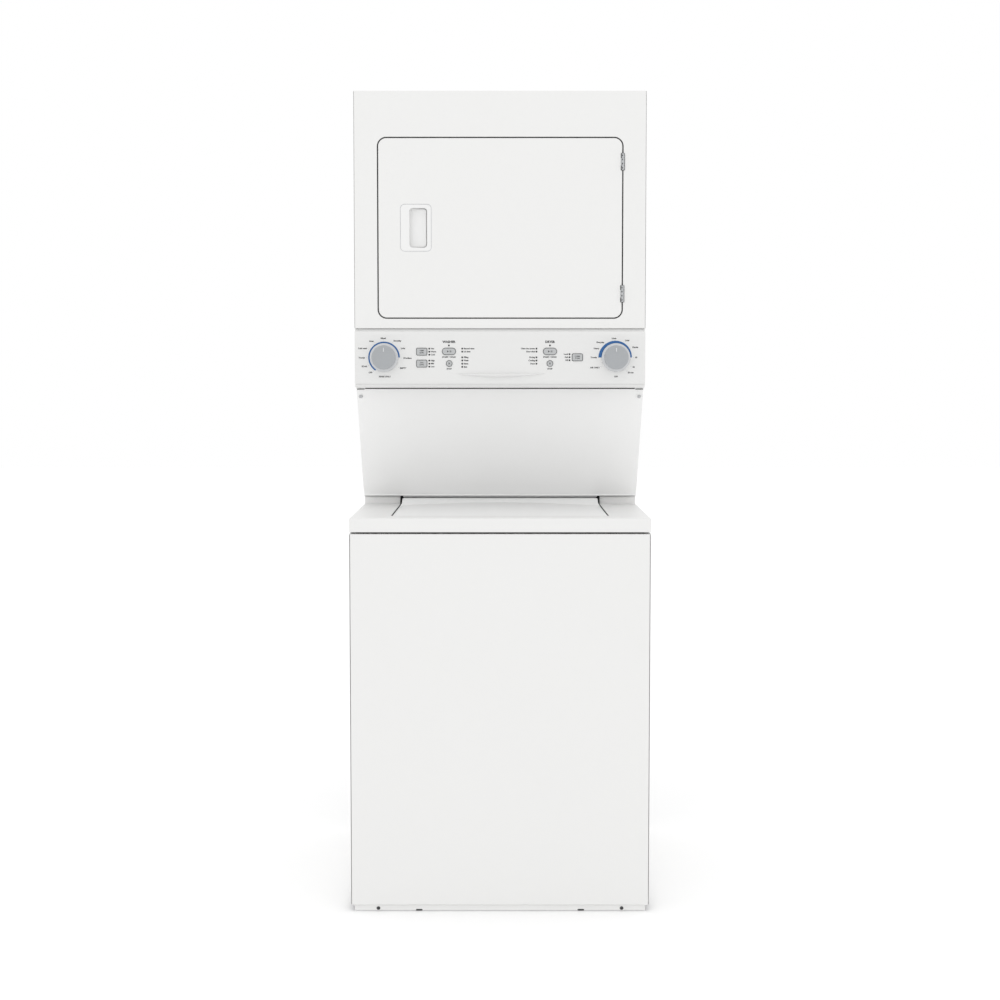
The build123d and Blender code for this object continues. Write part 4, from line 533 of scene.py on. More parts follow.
# ------------------------------------------------------------------------------------------- washer lid
@dataclass
class WasherLid:
    """The pressed lid: rounded lip, shallow dish, and a step that rises in an arc to the raised rear."""

    dish: float = 0.0008
    crown: float = 0.0060
    rim: float = 0.010
    lip: float = 0.006
    step_front: float = 0.054
    step_arc: float = 0.026
    slope_length: float = 0.036
    step_height: float = 0.0165
    notch: float = 0.0040
    notch_share: float = 0.3
    wall: float = 0.0012
    tail_length: float = 0.018
    tail_rise: float = 0.0105
    clearance: float = 0.0006
    top_margin: float = 0.0004
    flange_width_share: float = 0.955
    flange_depth_share: float = 0.945
    divisions: int = 90

    @staticmethod
    def ease(value: float) -> float:
        """Returns value clamped to 0..1 and eased at both ends."""
        value = min(1.0, max(0.0, value))
        return value * value * (3.0 - 2.0 * value)

    def height(self, x: float, y: float, half: float, front: float, start: float) -> float:
        """Works out how far the pressed skin stands above the flat lid, before it is bent.

        Args:
            x: Distance from the middle.
            y: Depth in the frame.
            half: Half the lid's width.
            front: Depth of the front edge.
            start: Depth at which the step begins at the sides.

        Returns:
            The offset in metres.
        """
        share = min(1.0, max(0.0, (y - start) / self.slope_length))
        rise = math.sin(share * math.pi / 2)
        swell = self.crown * (1.0 - (x / half) ** 2) * min(1.0, (y - front) / (start - front)) ** 2
        inside = self.ease((half - abs(x) - self.rim) / 0.04) * self.ease((y - front - self.rim) / 0.06)
        inside *= self.ease((start - y) / 0.03)
        lip = max(0.0, self.lip - (y - front))
        side = max(0.0, 0.003 - (half - abs(x)))
        drop = self.lip - math.sqrt(max(0.0, self.lip**2 - lip**2)) + side * 0.5
        return swell + (self.step_height - swell) * rise - self.dish * inside - drop

    def bend(self, x: float, y: float, half: float, front: float, rear: float, start: float) -> float:
        """Works out how far back a row is drawn so that the step runs in an arc.

        Args:
            x: Distance from the middle.
            y: Depth in the frame.
            half: Half the lid's width.
            front: Depth of the front edge.
            rear: Depth of the rear edge.
            start: Depth at which the step begins at the sides.

        Returns:
            The shift towards the rear in metres.
        """
        if y < start:
            share = ((y - front) / (start - front)) ** 3
        else:
            share = (rear - y) / (rear - start)
        return self.step_arc * (1.0 - (x / half) ** 2) * share

    def build(self) -> None:
        """Presses the lid out of a grid, closes its skirt and dresses it."""
        low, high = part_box("washer_lid")
        half, front, rear = high[0], low[1], high[1]
        row = (rear - front) / self.divisions
        start = rear - round(self.step_front / row) * row
        top = high[2] - self.step_height - self.top_margin
        shape = bmesh.new()
        bmesh.ops.create_grid(shape, x_segments=self.divisions, y_segments=self.divisions, size=0.5)
        bmesh.ops.scale(shape, verts=shape.verts, vec=(2 * half, rear - front, 1.0))
        shift(shape, 0.0, (front + rear) / 2, 0.0)
        for vert in shape.verts:
            x, y = vert.co.x, vert.co.y
            vert.co.z = top + self.height(x, y, half, front, start)
            vert.co.y += self.bend(x, y, half, front, rear, start)
            notch = self.notch * self.ease((y - start) / (self.notch_share * self.slope_length))
            vert.co.x -= notch * (x / half) ** 9
        rim = [line for line in shape.edges if line.is_boundary]
        skirt = bmesh.ops.extrude_edge_only(shape, edges=rim)
        lowered = [item for item in skirt["geom"] if isinstance(item, bmesh.types.BMVert)]
        for vert in lowered:
            tail = max(0.0, vert.co.y - rear + self.tail_length)
            vert.co.z = low[2] + self.clearance + self.tail_rise * tail / self.tail_length
        inward = bmesh.ops.extrude_edge_only(shape, edges=[e for e in shape.edges if e.is_boundary])
        centre = (front + rear) / 2
        for vert in (item for item in inward["geom"] if isinstance(item, bmesh.types.BMVert)):
            vert.co.x *= self.flange_width_share
            vert.co.y = centre + (vert.co.y - centre) * self.flange_depth_share
        bmesh.ops.recalc_face_normals(shape, faces=shape.faces)
        bmesh.ops.solidify(shape, geom=shape.faces[:], thickness=self.wall)
        piece = new_piece("washer_lid_pressing", shape, LIT_ENAMEL, "lid", 28.0)
        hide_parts("washer_lid")


# ------------------------------------------------------------------------------------------- console
RECTANGULAR = {
    "washer_temperature_button": ("TEMP", "LEVEL"),
    "washer_soil_button": ("SOIL", "LEVEL"),
    "dryer_signal_button": ("CHIME", "TONE"),
}


@dataclass
class Dial:
    """A cycle knob with its printed arc, ticks and cycle names."""

    node: str
    body: str
    arc_start: float
    arc_sweep: float
    arc_wide: float
    names: tuple[tuple[float, str], ...]
    ring_radius: float = 0.0336
    face_radius: float = 0.0282
    arc_inner: float = 0.0331
    arc_thin: float = 0.0041
    name_radius: float = 0.0450
    tick_radius: float = 0.0410
    letter: float = 0.0050
    letter_weight: float = 0.0002
    ribs: int = 60
    ring_height: float = 0.0066
    cap_edge: float = 0.0016
    dish_depth: float = 0.0006
    tick: float = 0.00045

    def knob(self) -> None:
        """Builds the white flared ring, the grey cap, its grip ribs and its pointer."""
        centre = middle(self.node)
        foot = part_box("console_fascia")[0][1] - 0.0007
        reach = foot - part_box(self.node)[0][1]
        wide, narrow, tall = self.ring_radius, self.face_radius, self.ring_height
        ring = turned([(0.0, 0.0), (wide - 0.0012, 0.0), (wide, 0.0008), (wide, 0.0028),
                       (wide - 0.0008, 0.0040), (narrow + 0.0012, 0.0056), (narrow, 0.0064),
                       (narrow - 0.001, tall), (0.0, tall)])
        shift(ring, centre.x, foot, centre.z)
        ring_piece = new_piece(self.node + "_ring", ring, RING_WITH_PAINTED_SHADE, self.body, 40.0)
        edge = self.cap_edge
        front = narrow - 0.0010
        cap_line = [(0.0, 0.0062), (narrow - 0.0002, 0.0062), (narrow - 0.0002, 0.0074)]
        cap_line += [(front + edge * math.sin(t) - edge * 0.4, reach - edge + edge * math.cos(t))
                     for t in (math.pi / 2 * (1 - step / 6) for step in range(7))]
        floor = reach - self.dish_depth
        cap_line += [(front - 0.0045, reach - 0.0002), (front - 0.0055, floor), (0.0, floor)]
        cap = turned(cap_line)
        for rib in range(self.ribs):
            bar = rounded_bar(0.0009, 0.0007, 0.0003, reach - 0.0105)
            shift(bar, 0.0, -0.0078, narrow - 0.0005)
            swing(bar, 360.0 * rib / self.ribs, "Y")
            join(cap, bar)
        shift(cap, centre.x, foot, centre.z)
        cap_piece = new_piece(self.node + "_cap", cap, KNOB_FACE, self.body, 35.0)
        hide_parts(self.node)
        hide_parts(self.node)
        pointer = rounded_bar(0.0011, 0.0088, 0.0005, 0.0003)
        shift(pointer, centre.x, foot - reach + 0.00055, centre.z + 0.0178)
        new_piece(self.node + "_pointer", pointer, WHITE_INK, self.body)

    def arc(self, face: float) -> None:
        """Prints the blue arc on the console.

        Args:
            face: Depth of the console's face.
        """
        centre = middle(self.node)
        shape = flat_ring(self.arc_inner, self.arc_inner + self.arc_thin, self.arc_start, self.arc_sweep, 72)
        for vert in shape.verts:
            radius = math.hypot(vert.co.x, vert.co.z)
            if radius > self.arc_inner + self.arc_thin / 2:
                angle = math.degrees(math.atan2(vert.co.z, vert.co.x)) % 360.0
                grown = 1.0 + self.arc_wide * max(0.0, min(1.0, angle / 180.0)) / radius
                vert.co.x *= grown
                vert.co.z *= grown
        thicken(shape, PRINT_DEPTH)
        shift(shape, centre.x, face, centre.z)
        new_piece(self.node + "_arc", shape, BLUE_INK, "root")

    def scale(self, face: float, ink: Shape) -> None:
        """Prints the cycle names and their ticks.

        Args:
            face: Depth of the console's face.
            ink: The shape that gathers all the dark print.
        """
        centre = middle(self.node)
        for angle, name in self.names:
            across, up = math.cos(math.radians(angle)), math.sin(math.radians(angle))
            tick = flat_ring(0.0, self.tick, 0.0, 360.0, 10)
            bmesh.ops.remove_doubles(tick, verts=tick.verts, dist=MERGE)
            thicken(tick, PRINT_DEPTH)
            shift(tick, centre.x + self.tick_radius * across, face, centre.z + self.tick_radius * up)
            join(ink, tick)
            align = "CENTER" if abs(across) < 0.30 else ("LEFT" if across > 0 else "RIGHT")
            place = (centre.x + self.name_radius * across, face, centre.z + self.name_radius * up)
            print_words(ink, name, self.letter, place, align, self.letter_weight)


@dataclass
class Console:
    """The control console: moulding, dials, lamps, button marks and printed words."""

    lamp_radius: float = 0.00220
    small: float = 0.0048
    title: float = 0.0074
    border: float = 0.0009
    flange: float = 0.0034
    face_corner: float = 0.003
    button_letter: float = 0.0042
    button_weight: float = 0.00008
    weight: float = 0.045
    word_gap: float = 0.0036
    title_rise: float = 0.0222
    hold_drop: float = 0.0134
    lamp_rise: float = 0.0140
    stop_drop: float = 0.0128
    notice_rise: float = 0.0066
    option_drop: float = 0.0138
    option_pitch: float = 0.0075
    crescent_half: float = 0.1095
    crescent_top: float = 1.2362
    crescent_drop: float = 0.0096
    crescent_out: float = 0.0096

    def lamp(self, x: float, z: float, face: float) -> Shape:
        """Makes one small domed lamp lens at x, z on the face."""
        radius = self.lamp_radius
        shape = turned([(radius, 0.0), (radius, 0.0002), (radius * 0.7, 0.0004), (0.0, 0.0005)], 14)
        shift(shape, x, face, z)
        return shape

    def crescent(self, face: float) -> None:
        """Raises the shallow crescent ledge under the words, out of a grid."""
        shape = bmesh.new()
        bmesh.ops.create_grid(shape, x_segments=64, y_segments=10, size=0.5)
        for vert in shape.verts:
            across, down = vert.co.x * 2.0, 0.5 - vert.co.y
            depth = self.crescent_drop * (1.0 - across**2)
            swell = math.sin(math.pi * min(1.0, down)) * (1.0 - across**2)
            ahead = face + 0.0002 - self.crescent_out * swell
            vert.co = Vector((across * self.crescent_half, ahead, self.crescent_top - down * depth))
        bmesh.ops.remove_doubles(shape, verts=shape.verts, dist=MERGE)
        new_piece("console_crescent", shape, CONSOLE, "root", 60.0)

    def words(self, face: float, ink: Shape, rows: list[tuple[str, float, float, float, str]]) -> None:
        """Prints rows of words.

        Args:
            face: Depth of the console's face.
            ink: The shape that gathers all the dark print.
            rows: The words, their size, their place and their alignment.
        """
        for text, size, x, z, align in rows:
            print_words(ink, text, size, (x, face, z), align, size * self.weight)

    def group(self, face: float, ink: Shape, lamps: Shape, x: float, top: float,
              names: tuple[str, ...], side: int, pitch: float = 0.0071) -> None:
        """Adds a column of lamps with a word beside each.

        Args:
            face: Depth of the console's face.
            ink: The shape that gathers all the dark print.
            lamps: The shape that gathers all the lamp lenses.
            x: Place of the column along X.
            top: Height of the topmost lamp.
            names: The words, from the top down.
            side: 1 if the words are right of the lamps, or -1.
            pitch: Distance from lamp to lamp.
        """
        for row, name in enumerate(names):
            z = top - row * pitch
            join(lamps, self.lamp(x, z, face))
            align = "LEFT" if side > 0 else "RIGHT"
            self.words(face, ink, [(name, self.small, x + side * self.word_gap, z, align)])

    def button_marks(self) -> None:
        """Puts a mark on each button that rides with it."""
        for node in NODE_FINISHES[BUTTON]:
            low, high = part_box(node)
            centre = middle(node)
            mark = bmesh.new()
            width, height = high[0] - low[0], high[2] - low[2]
            corner = self.face_corner if node in RECTANGULAR else height / 2
            edge = outline_band(width - self.flange, height - self.flange, corner, self.border)
            thicken(edge, PRINT_DEPTH)
            join(mark, edge)
            if "cancel" in node:
                for turn in (45.0, -45.0):
                    bar = rounded_bar(0.0064, 0.0009, 0.0003, PRINT_DEPTH)
                    swing(bar, turn, "Y")
                    join(mark, bar)
            elif "start" in node:
                arrow = flat_ring(0.0, 0.0027, 0.0, 360.0, 3)
                bmesh.ops.remove_doubles(arrow, verts=arrow.verts, dist=MERGE)
                thicken(arrow, PRINT_DEPTH)
                shift(arrow, -0.0030, 0.0, 0.0)
                join(mark, arrow)
                for place in (0.0026, 0.0046):
                    bar = rounded_bar(0.0010, 0.0046, 0.0003, PRINT_DEPTH)
                    shift(bar, place, 0.0, 0.0)
                    join(mark, bar)
            else:
                for text, z in zip(RECTANGULAR[node], (0.0023, -0.0026)):
                    print_words(mark, text, self.button_letter, (0.0, 0.0, z), "CENTER", self.button_weight)
            shift(mark, centre.x, low[1], centre.z)
            new_piece(node + "_mark", mark, INK, node)

    def build(self) -> None:
        """Builds everything on the console's face."""
        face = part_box("console_fascia")[0][1]
        ink, lamps = bmesh.new(), bmesh.new()
        washer = Dial("washer_knob", "washer_dial", 0.0, 236.0, 0.0, (
            (122.0, "Linen"), (92.0, "Mixed"), (60.0, "Everyday"), (28.0, "Light"), (-2.0, "Woollens"),
            (-34.0, "EMPTY"), (-88.0, "RINSE ONLY"), (232.0, "OFF"), (208.0, "SOAK"), (181.0, "Towels"),
            (152.0, "Cold wash")))
        dryer = Dial("dryer_knob", "dryer_dial", 0.0, 180.0, 0.0042, (
            (128.0, "Everyday"), (96.0, "Linen"), (62.0, "Light"), (32.0, "Gentle"), (0.0, "60"),
            (-30.0, "40"), (-52.0, "20 min"), (-90.0, "OFF"), (212.0, "AIR ONLY"), (180.0, "Towels"),
            (152.0, "Heavy")))
        for dial in (washer, dryer):
            dial.knob()
            dial.arc(face)
            dial.scale(face, ink)
        washer_start, dryer_start = middle("washer_start_button"), middle("dryer_start_button")
        washer_stop, dryer_stop = middle("washer_cancel_button"), middle("dryer_cancel_button")
        temp, soil, signal = (middle(node) for node in RECTANGULAR)
        for centre, word in ((washer_start, "WASHER"), (dryer_start, "DRYER")):
            self.words(face, ink, [
                (word, self.title, centre.x, centre.z + self.title_rise, "CENTER"),
                ("START / HOLD", self.small, centre.x, centre.z - self.hold_drop, "CENTER"),
            ])
            join(lamps, self.lamp(centre.x, centre.z + self.lamp_rise, face))
        for centre in (washer_stop, dryer_stop):
            self.words(face, ink, [("STOP", self.small, centre.x, centre.z - self.stop_drop, "CENTER")])
        for centre, names in ((temp, ("Hot", "Warm", "Cold")), (soil, ("High", "Mid", "Low"))):
            self.group(face, ink, lamps, centre.x + 0.0177, centre.z + 0.0071, names, 1)
        self.group(face, ink, lamps, signal.x - 0.0185, signal.z + 0.0073, ("Loud", "Soft", "Off"), -1)
        washer_column, dryer_column = washer_start.x + 0.0311, dryer_start.x - 0.0317
        self.group(face, ink, lamps, washer_column, washer_start.z + self.notice_rise,
                   ("Second rinse", "Lid shut"), 1)
        self.group(face, ink, lamps, washer_column, washer_start.z - self.option_drop,
                   ("Filling", "Wash", "Rinse", "Spin"), 1, self.option_pitch)
        self.group(face, ink, lamps, dryer_column, dryer_start.z + self.notice_rise,
                   ("Clean the screen", "Door shut"), -1)
        self.group(face, ink, lamps, dryer_column, dryer_start.z - self.option_drop,
                   ("Drying", "Cooling", "Done"), -1, self.option_pitch)
        link = rounded_bar(0.0003, 0.0225, 0.0001, PRINT_DEPTH)
        shift(link, washer_column, face, washer_start.z - 0.0250)
        join(ink, link)
        new_piece("console_print", ink, INK, "root")
        new_piece("console_lamps", lamps, LENS, "root")
        self.crescent(face)
        self.button_marks()


# ------------------------------------------------------------------------------------------- gap shade and trims
@dataclass
class GapShadeAndTrims:
    """Dark strips of painted shade in the gaps, and the light trims that close the wider ones."""

    door_gap: float = 0.003
    recess: float = 0.0035
    door_corner: float = 0.022
    line: float = 0.0015
    strip_inset: float = 0.009
    strip_screw_x: float = 0.280
    strip_slot_x: float = 0.186

    def slab(self, shape: Shape, low: Corner, high: Corner) -> None:
        """Adds a block between two corners to a shape.

        Args:
            shape: The shape that takes the block.
            low: The block's low corner.
            high: The block's high corner.
        """
        made = bmesh.ops.create_cube(shape, size=1.0)["verts"]
        size = Vector(high) - Vector(low)
        bmesh.ops.scale(shape, verts=made, vec=size)
        bmesh.ops.translate(shape, verts=made, vec=Vector(low) + size / 2)

    def door_gap_shade(self) -> None:
        """Sets a dark ring inside the gap round the dryer door, as painted shade in the gap."""
        low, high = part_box("door_outer_panel")
        centre = middle("door_outer_panel")
        grown = 2 * self.door_gap
        band = self.door_gap - 0.0004
        ring = outline_band(high[0] - low[0] + grown, high[2] - low[2] + grown, self.door_corner, band)
        thicken(ring, 0.004)
        shift(ring, centre.x, low[1] + self.recess + 0.004, centre.z)
        new_piece("door_gap_shade_ring", ring, RUBBER, "root")

    def console_lines(self) -> None:
        """Closes the slot over the console with a trim, and lays a dark strip of painted shade in the slot
        under it.
        """
        front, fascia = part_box("dryer_front_panel"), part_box("console_fascia")
        trim, slot_shade = bmesh.new(), bmesh.new()
        half = fascia[1][0] - 0.0005
        plane = front[0][1]
        self.slab(trim, (-half, plane + 0.0015, fascia[1][2] + 0.0002),
                  (half, plane + 0.012, front[0][2] - self.line))
        new_piece("console_top_trim", trim, CONSOLE, "root")
        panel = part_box("sloped_panel")
        slope = (panel[1][1] - 0.014 - panel[0][1]) / (panel[1][2] - panel[0][2])
        top = panel[1][2] - 0.0050
        depth = panel[0][1] + slope * 0.0050
        # Painted shade: a dark strip along the panel's top, in the gap under the console.
        self.slab(slot_shade, (-0.322, depth - 0.0010, top - 0.0030), (0.322, depth + 0.0010, top))
        for side in (-1, 1):
            ends = sorted((side * 0.324, side * 0.342))
            self.slab(slot_shade, (ends[0], depth - 0.0012, top - 0.0045), (ends[1], depth + 0.0010, top - 0.0030))
        new_piece("panel_top_shade_strip", slot_shade, RUBBER, "root")

    def panel_hem(self) -> None:
        """Folds a narrow hem down from the sloped panel's lower edge."""
        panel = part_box("sloped_panel")
        edge = panel[1][1] - 0.014
        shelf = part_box("washer_deck")[1][2]
        hem = bmesh.new()
        self.slab(hem, (panel[0][0] + 0.0004, edge - 0.0002, shelf + self.line),
                  (panel[1][0] - 0.0004, edge + 0.001, panel[0][2] + 0.0004))
        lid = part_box("washer_lid")[1]
        self.slab(hem, (0.0045 - lid[0], lid[1] + 0.0010, lid[2] + 0.0010),
                  (lid[0] - 0.0045, lid[1] + 0.0030, panel[0][2] - 0.0008))
        new_piece("panel_hem", hem, LIT_ENAMEL, "root")

    def lid_slots(self) -> None:
        """Lines the slots beside the washer lid with thin dark sheets of painted shade."""
        low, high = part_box("washer_lid")
        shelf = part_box("washer_deck")[1][2]
        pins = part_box("lid_hinge_pins")
        half, deck = high[0] + 0.0022, high[2] - 0.0165
        slot_shade = bmesh.new()
        for side in (-1, 1):
            ends = sorted((side * (half - 0.0004), side * (half - 0.0001)))
            floor = low[2] - 0.0015
            self.slab(slot_shade, (ends[0], low[1], floor), (ends[1], pins[0][1] - 0.002, deck - 0.0004))
            self.slab(slot_shade, (ends[0], pins[1][1] + 0.002, floor), (ends[1], high[1] + 0.014, shelf - 0.002))
            across = sorted((side * (high[0] - 0.0058), side * (half - 0.0005)))
            back = high[1] + 0.0137
            self.slab(slot_shade, (across[0], back, floor), (across[1], back + 0.0010, shelf - 0.0015))
        new_piece("lid_slot_shade", slot_shade, RUBBER, "root")

    def base_front(self) -> None:
        """Closes the front of the base with a white strip and its dark screws, and marks its slots with dark
        patches of painted shade.
        """
        low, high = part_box("washer_front_panel")
        half, foot, top = high[0], 0.0012, low[2] + 0.0002
        plane = low[1] + 0.0042
        strip, holes = bmesh.new(), bmesh.new()
        reach = half - self.strip_inset
        self.slab(strip, (-reach, plane, foot), (reach, plane + 0.0010, top))
        new_piece("base_front_strip", strip, ENAMEL, "root")
        for side in (-1, 1):
            screw = turned([(0.0, 0.0018), (0.0026, 0.0016), (0.0042, 0.0003), (0.0042, 0.0)], 20)
            shift(screw, side * self.strip_screw_x, plane, 0.0070)
            join(holes, screw)
            # Painted shade: each slot is a flat dark patch standing in for the shade in its opening.
            notch = rounded_bar(0.015, 0.0035, 0.0016, 0.0003)
            shift(notch, side * self.strip_slot_x, plane, 0.0032)
            join(holes, notch)
        new_piece("base_front_screws_and_slot_shade", holes, MOTOR_COAT, "root")

    def build(self) -> None:
        """Builds every strip of painted gap shade and every trim."""
        self.base_front()
        self.door_gap_shade()
        self.console_lines()
        self.panel_hem()
        self.lid_slots()


@dataclass
class DoorFurniture:
    """The handle cup's sloping floor and its outline of painted shade, painted shade in the hinge slots, and
    the catch behind the door.
    """

    wedge_rise: float = 0.0055
    wedge_width: float = 0.0384
    wedge_height: float = 0.0880
    wedge_corner: float = 0.0070
    wedge_power: float = 1.3
    pocket_depth: float = 0.0139
    pocket_aside: float = 0.0046
    plate_corner: float = 0.0108
    plate_line: float = 0.0008
    slot_width: float = 0.0020
    slot_height: float = 0.0042
    slots: int = 4
    hinge_height: float = 0.038

    def handle(self) -> None:
        """Slopes the floor of the finger pocket and rims its plate with a thin grey line of painted shade."""
        low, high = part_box("handle_cup")
        centre = middle("handle_cup")
        line = self.plate_line
        # Painted shade: a thin grey band round the plate, in the gap where shade falls.
        rim = outline_band(high[0] - low[0] + 2 * line, high[2] - low[2] + 2 * line, self.plate_corner, line)
        thicken(rim, 0.0003)
        shift(rim, centre.x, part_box("door_outer_panel")[0][1], centre.z)
        new_piece("handle_outline_shade", rim, RING_WITH_PAINTED_SHADE, "door")
        wedge = rounded_bar(self.wedge_width, self.wedge_height, self.wedge_corner, self.wedge_rise)
        for vert in wedge.verts:
            share = max(0.0, vert.co.x / self.wedge_width + 0.5)
            vert.co.y *= max(0.02, share**self.wedge_power)
        shift(wedge, centre.x + self.pocket_aside, low[1] + self.pocket_depth, centre.z)
        new_piece("handle_pocket_floor", wedge, CUP, "door", 20.0)

    def hinge_slot_shade(self) -> None:
        """Paints small dark slots on both hinges, as painted shade in their openings."""
        low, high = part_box("frame_hinge_leaves")
        slots = bmesh.new()
        tall = self.hinge_height
        for start in (low[2], high[2] - tall):
            for step in range(self.slots):
                bar = rounded_bar(self.slot_width, self.slot_height, 0.0006, 0.00005)
                shift(bar, low[0] + 0.0022, low[1], start + tall * (step + 0.5) / self.slots)
                join(slots, bar)
        new_piece("hinge_slot_shade", slots, RUBBER, "root")

    def catch(self) -> None:
        """Adds the catch on the cabinet behind the free side of the door."""
        low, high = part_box("door_outer_panel")
        height = middle("handle_cup").z
        block = rounded_bar(0.014, 0.036, 0.002, 0.0024, 0.0006)
        shift(block, low[0] + 0.016, high[1] + 0.0062, height)
        new_piece("door_catch", block, NYLON, "root")

    def build(self) -> None:
        """Builds all of it."""
        self.handle()
        self.hinge_slot_shade()
        self.catch()


# ------------------------------------------------------------------------------------------- works
@dataclass
class BasketHoles:
    """Rows of drain holes round the wash basket, drawn as small dark dimples of painted shade on the inner
    wall.
    """

    columns: int = 64
    rows: int = 11
    radius: float = 0.0022
    lowest: float = 0.33
    row_pitch: float = 0.038
    sheet: float = 0.0016
    proud: float = 0.0003

    def build(self) -> None:
        """Places the dimples by loops."""
        low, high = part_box("wash_basket")
        centre = middle("wash_basket")
        wall = (high[0] - low[0]) / 2 - self.sheet - self.proud
        upright = Matrix.Rotation(math.pi / 2, 3, "Y")
        shape = bmesh.new()
        for row in range(self.rows):
            z = self.lowest + row * self.row_pitch
            for column in range(self.columns):
                dot = bmesh.ops.create_circle(shape, cap_ends=True, segments=6, radius=self.radius)["verts"]
                bmesh.ops.rotate(shape, verts=dot, cent=ORIGIN, matrix=upright)
                bmesh.ops.translate(shape, verts=dot, vec=(wall, 0.0, z))
                angle = math.tau * (column + 0.5 * (row % 2)) / self.columns
                bmesh.ops.rotate(shape, verts=dot, cent=ORIGIN, matrix=Matrix.Rotation(angle, 3, "Z"))
        shift(shape, centre.x, centre.y, 0.0)
        new_piece("basket_hole_shade", shape, RUBBER, "basket")


@dataclass
class LintMesh:
    """The fine mesh that fills the lint screen's frame and slides with it."""

    border: float = 0.004
    columns: int = 44
    rows: int = 32
    wire: float = 0.0005

    def build(self) -> None:
        """Weaves the mesh across the frame's window."""
        low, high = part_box("lint_screen")
        spans = [high[axis] - low[axis] for axis in range(3)]
        thin = spans.index(min(spans))
        first, second = (axis for axis in range(3) if axis != thin)
        mesh = bmesh.new()
        bmesh.ops.create_grid(mesh, x_segments=self.columns, y_segments=self.rows, size=0.5)
        centre = middle("lint_screen")
        for vert in mesh.verts:
            across, along = vert.co.x, vert.co.y
            place = centre.copy()
            place[first] += across * (spans[first] - 2 * self.border)
            place[second] += along * (spans[second] - 2 * self.border)
            vert.co = place
        bmesh.ops.wireframe(mesh, faces=mesh.faces[:], thickness=self.wire, use_boundary=True,
                            use_replace=True)
        new_piece("lint_mesh", mesh, SCREEN, "lint_screen")


@dataclass
class RearDetails:
    """Screws round the rear panels and the louvres that let cool air in."""

    screw_radius: float = 0.0042
    screw_inset: float = 0.014
    screw_margin: float = 0.03
    screw_depth: float = 0.0015
    louvre_width: float = 0.11
    louvre_height: float = 0.007
    louvre_depth: float = 0.004
    louvre_drop: float = 0.045
    louvre_pitch: float = 0.0130
    louvre_rows: int = 5
    port_height: float = 0.820

    def screw(self, x: float, y: float, z: float) -> Shape:
        """Makes one domed screw that faces the rear at x, y, z."""
        radius = self.screw_radius
        dome = [(0.0, 0.0), (radius, 0.0), (radius, 0.0008), (radius * 0.7, 0.0019), (0.0, 0.0023)]
        made = turned(dome, 16)
        swing(made, 180.0, "Z")
        shift(made, x, y, z)
        return made

    def screws(self) -> None:
        """Sets a row of screws down both sides of each rear panel."""
        shape = bmesh.new()
        for node, count in (("washer_rear_panel", 5), ("dryer_rear_panel", 6)):
            low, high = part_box(node)
            height = high[2] - low[2] - 2 * self.screw_margin
            aside, depth = high[0] - self.screw_inset, high[1] - self.screw_depth
            for side in (-1, 1):
                for step in range(count):
                    z = low[2] + self.screw_margin + height * step / (count - 1)
                    join(shape, self.screw(side * aside, depth, z))
        new_piece("rear_screws", shape, PLATED, "root")

    def louvres(self) -> None:
        """Presses three stacks of louvres out of the dryer's rear panel."""
        shape = bmesh.new()
        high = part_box("dryer_rear_panel")[1]
        for x in (-0.20, 0.0, 0.20):
            for row in range(self.louvre_rows):
                bar = rounded_bar(self.louvre_width, self.louvre_height, 0.0035, self.louvre_depth, 0.0015)
                swing(bar, 180.0, "Z")
                shift(bar, x, high[1] - 0.0016, high[2] - self.louvre_drop - row * self.louvre_pitch)
                join(shape, bar)
        new_piece("rear_louvres", shape, ZINC, "root")

    def port_rings(self) -> None:
        """Rings the hot and the cold port with their colours."""
        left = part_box("hose_fittings")[0][0]
        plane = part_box("washer_rear_panel")[1][1] + 0.0005
        ports = (("hot_port_ring", 0.0134, HOT_RED), ("cold_port_ring", 0.0734, COLD_BLUE))
        for name, aside, finish in ports:
            ring = turned([(0.0137, 0.0), (0.0165, 0.0), (0.0165, 0.003), (0.0137, 0.003), (0.0137, 0.0)], 40)
            swing(ring, 180.0, "Z")
            shift(ring, left + aside, plane, self.port_height)
            new_piece(name, ring, finish, "root")

    def build(self) -> None:
        """Builds all of it."""
        self.port_rings()
        self.screws()
        self.louvres()


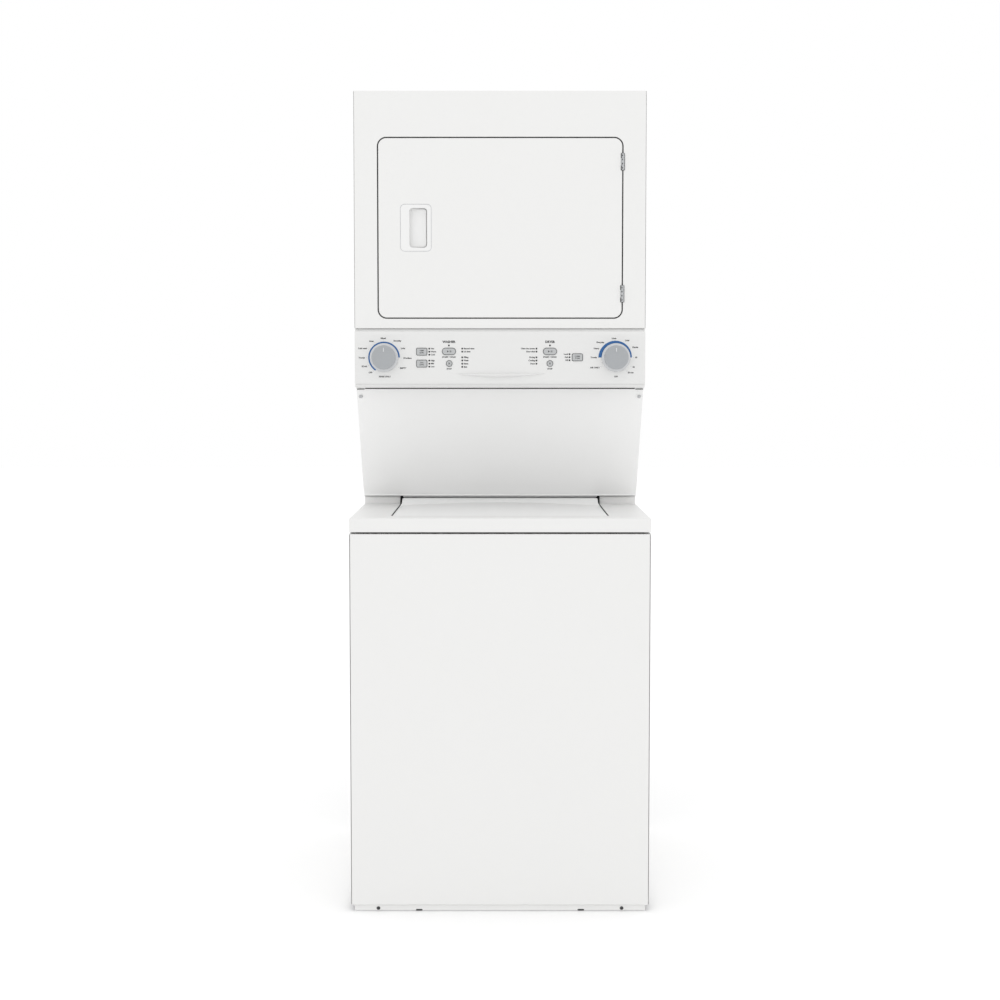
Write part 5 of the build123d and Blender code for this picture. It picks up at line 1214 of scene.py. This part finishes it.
# ------------------------------------------------------------------------------------------- studio
@dataclass
class Studio:
    """The floor, the soft lights and the camera."""

    distance: float = 4.0
    eye: float = 1.2216
    pitch: float = 3.894
    lens: float = 63.73
    sensor: float = 36.0

    def lamp(self, name: str, place: Corner, target: Corner, size: float, power: float) -> None:
        """Adds one soft square light.

        Args:
            name: The light's name.
            place: Where it stands.
            target: What it points at.
            size: Its side in metres.
            power: Its power in watts.
        """
        data = bpy.data.lights.new(name, "AREA")
        data.shape = "SQUARE"
        data.size = size
        data.energy = power
        holder = bpy.data.objects.new(name, data)
        holder.location = place
        holder.rotation_euler = (Vector(target) - Vector(place)).to_track_quat("-Z", "Y").to_euler()
        bpy.context.scene.collection.objects.link(holder)

    def build(self) -> None:
        """Sets up the floor, world, lights and camera."""
        scene = bpy.context.scene
        scene.view_settings.view_transform = "Standard"
        scene.view_settings.look = "None"
        world = bpy.data.worlds.new("studio")
        world.use_nodes = True
        backdrop = world.node_tree.nodes["Background"]
        backdrop.inputs["Color"].default_value = (1.0, 1.0, 1.0, 1.0)
        backdrop.inputs["Strength"].default_value = 1.0
        scene.world = world
        ground = bmesh.new()
        bmesh.ops.create_grid(ground, x_segments=1, y_segments=1, size=20.0)
        mesh = bpy.data.meshes.new("floor")
        ground.to_mesh(mesh)
        ground.free()
        mesh.materials.append(FLOOR.material())
        floor = bpy.data.objects.new("floor", mesh)
        scene.collection.objects.link(floor)
        self.lamp("key_left", (-2.6, -3.6, 3.0), (0.0, 0.0, 1.1), 2.4, 4.0)
        self.lamp("key_right", (2.6, -3.6, 3.0), (0.0, 0.0, 1.1), 2.4, 3.0)
        self.lamp("overhead", (0.0, -0.6, 4.2), (0.0, 0.0, 0.0), 3.0, 6.0)
        data = bpy.data.cameras.new("camera")
        data.lens = self.lens
        data.sensor_width = self.sensor
        camera = bpy.data.objects.new("camera", data)
        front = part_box("washer_front_panel")[0][1]
        camera.location = (0.0, front - self.distance, self.eye)
        camera.rotation_euler = (math.radians(90.0 - self.pitch), 0.0, 0.0)
        scene.collection.objects.link(camera)
        scene.camera = camera


def dress_nodes() -> None:
    """Stands a smooth, finished copy in for every CAD node that isn't shaped anew."""
    shaped_anew = {"washer_lid", "washer_knob", "dryer_knob"}
    for finish, names in NODE_FINISHES.items():
        for node in names:
            if node not in shaped_anew:
                smooth_copy(node, finish)


def main() -> None:
    """Builds the studio and every sub-assembly."""
    logging.basicConfig(level=logging.INFO, format="%(name)s: %(message)s")
    Studio().build()
    dress_nodes()
    WasherLid().build()
    Console().build()
    GapShadeAndTrims().build()
    DoorFurniture().build()
    BasketHoles().build()
    LintMesh().build()
    RearDetails().build()


if __name__ == "__main__":
    main()
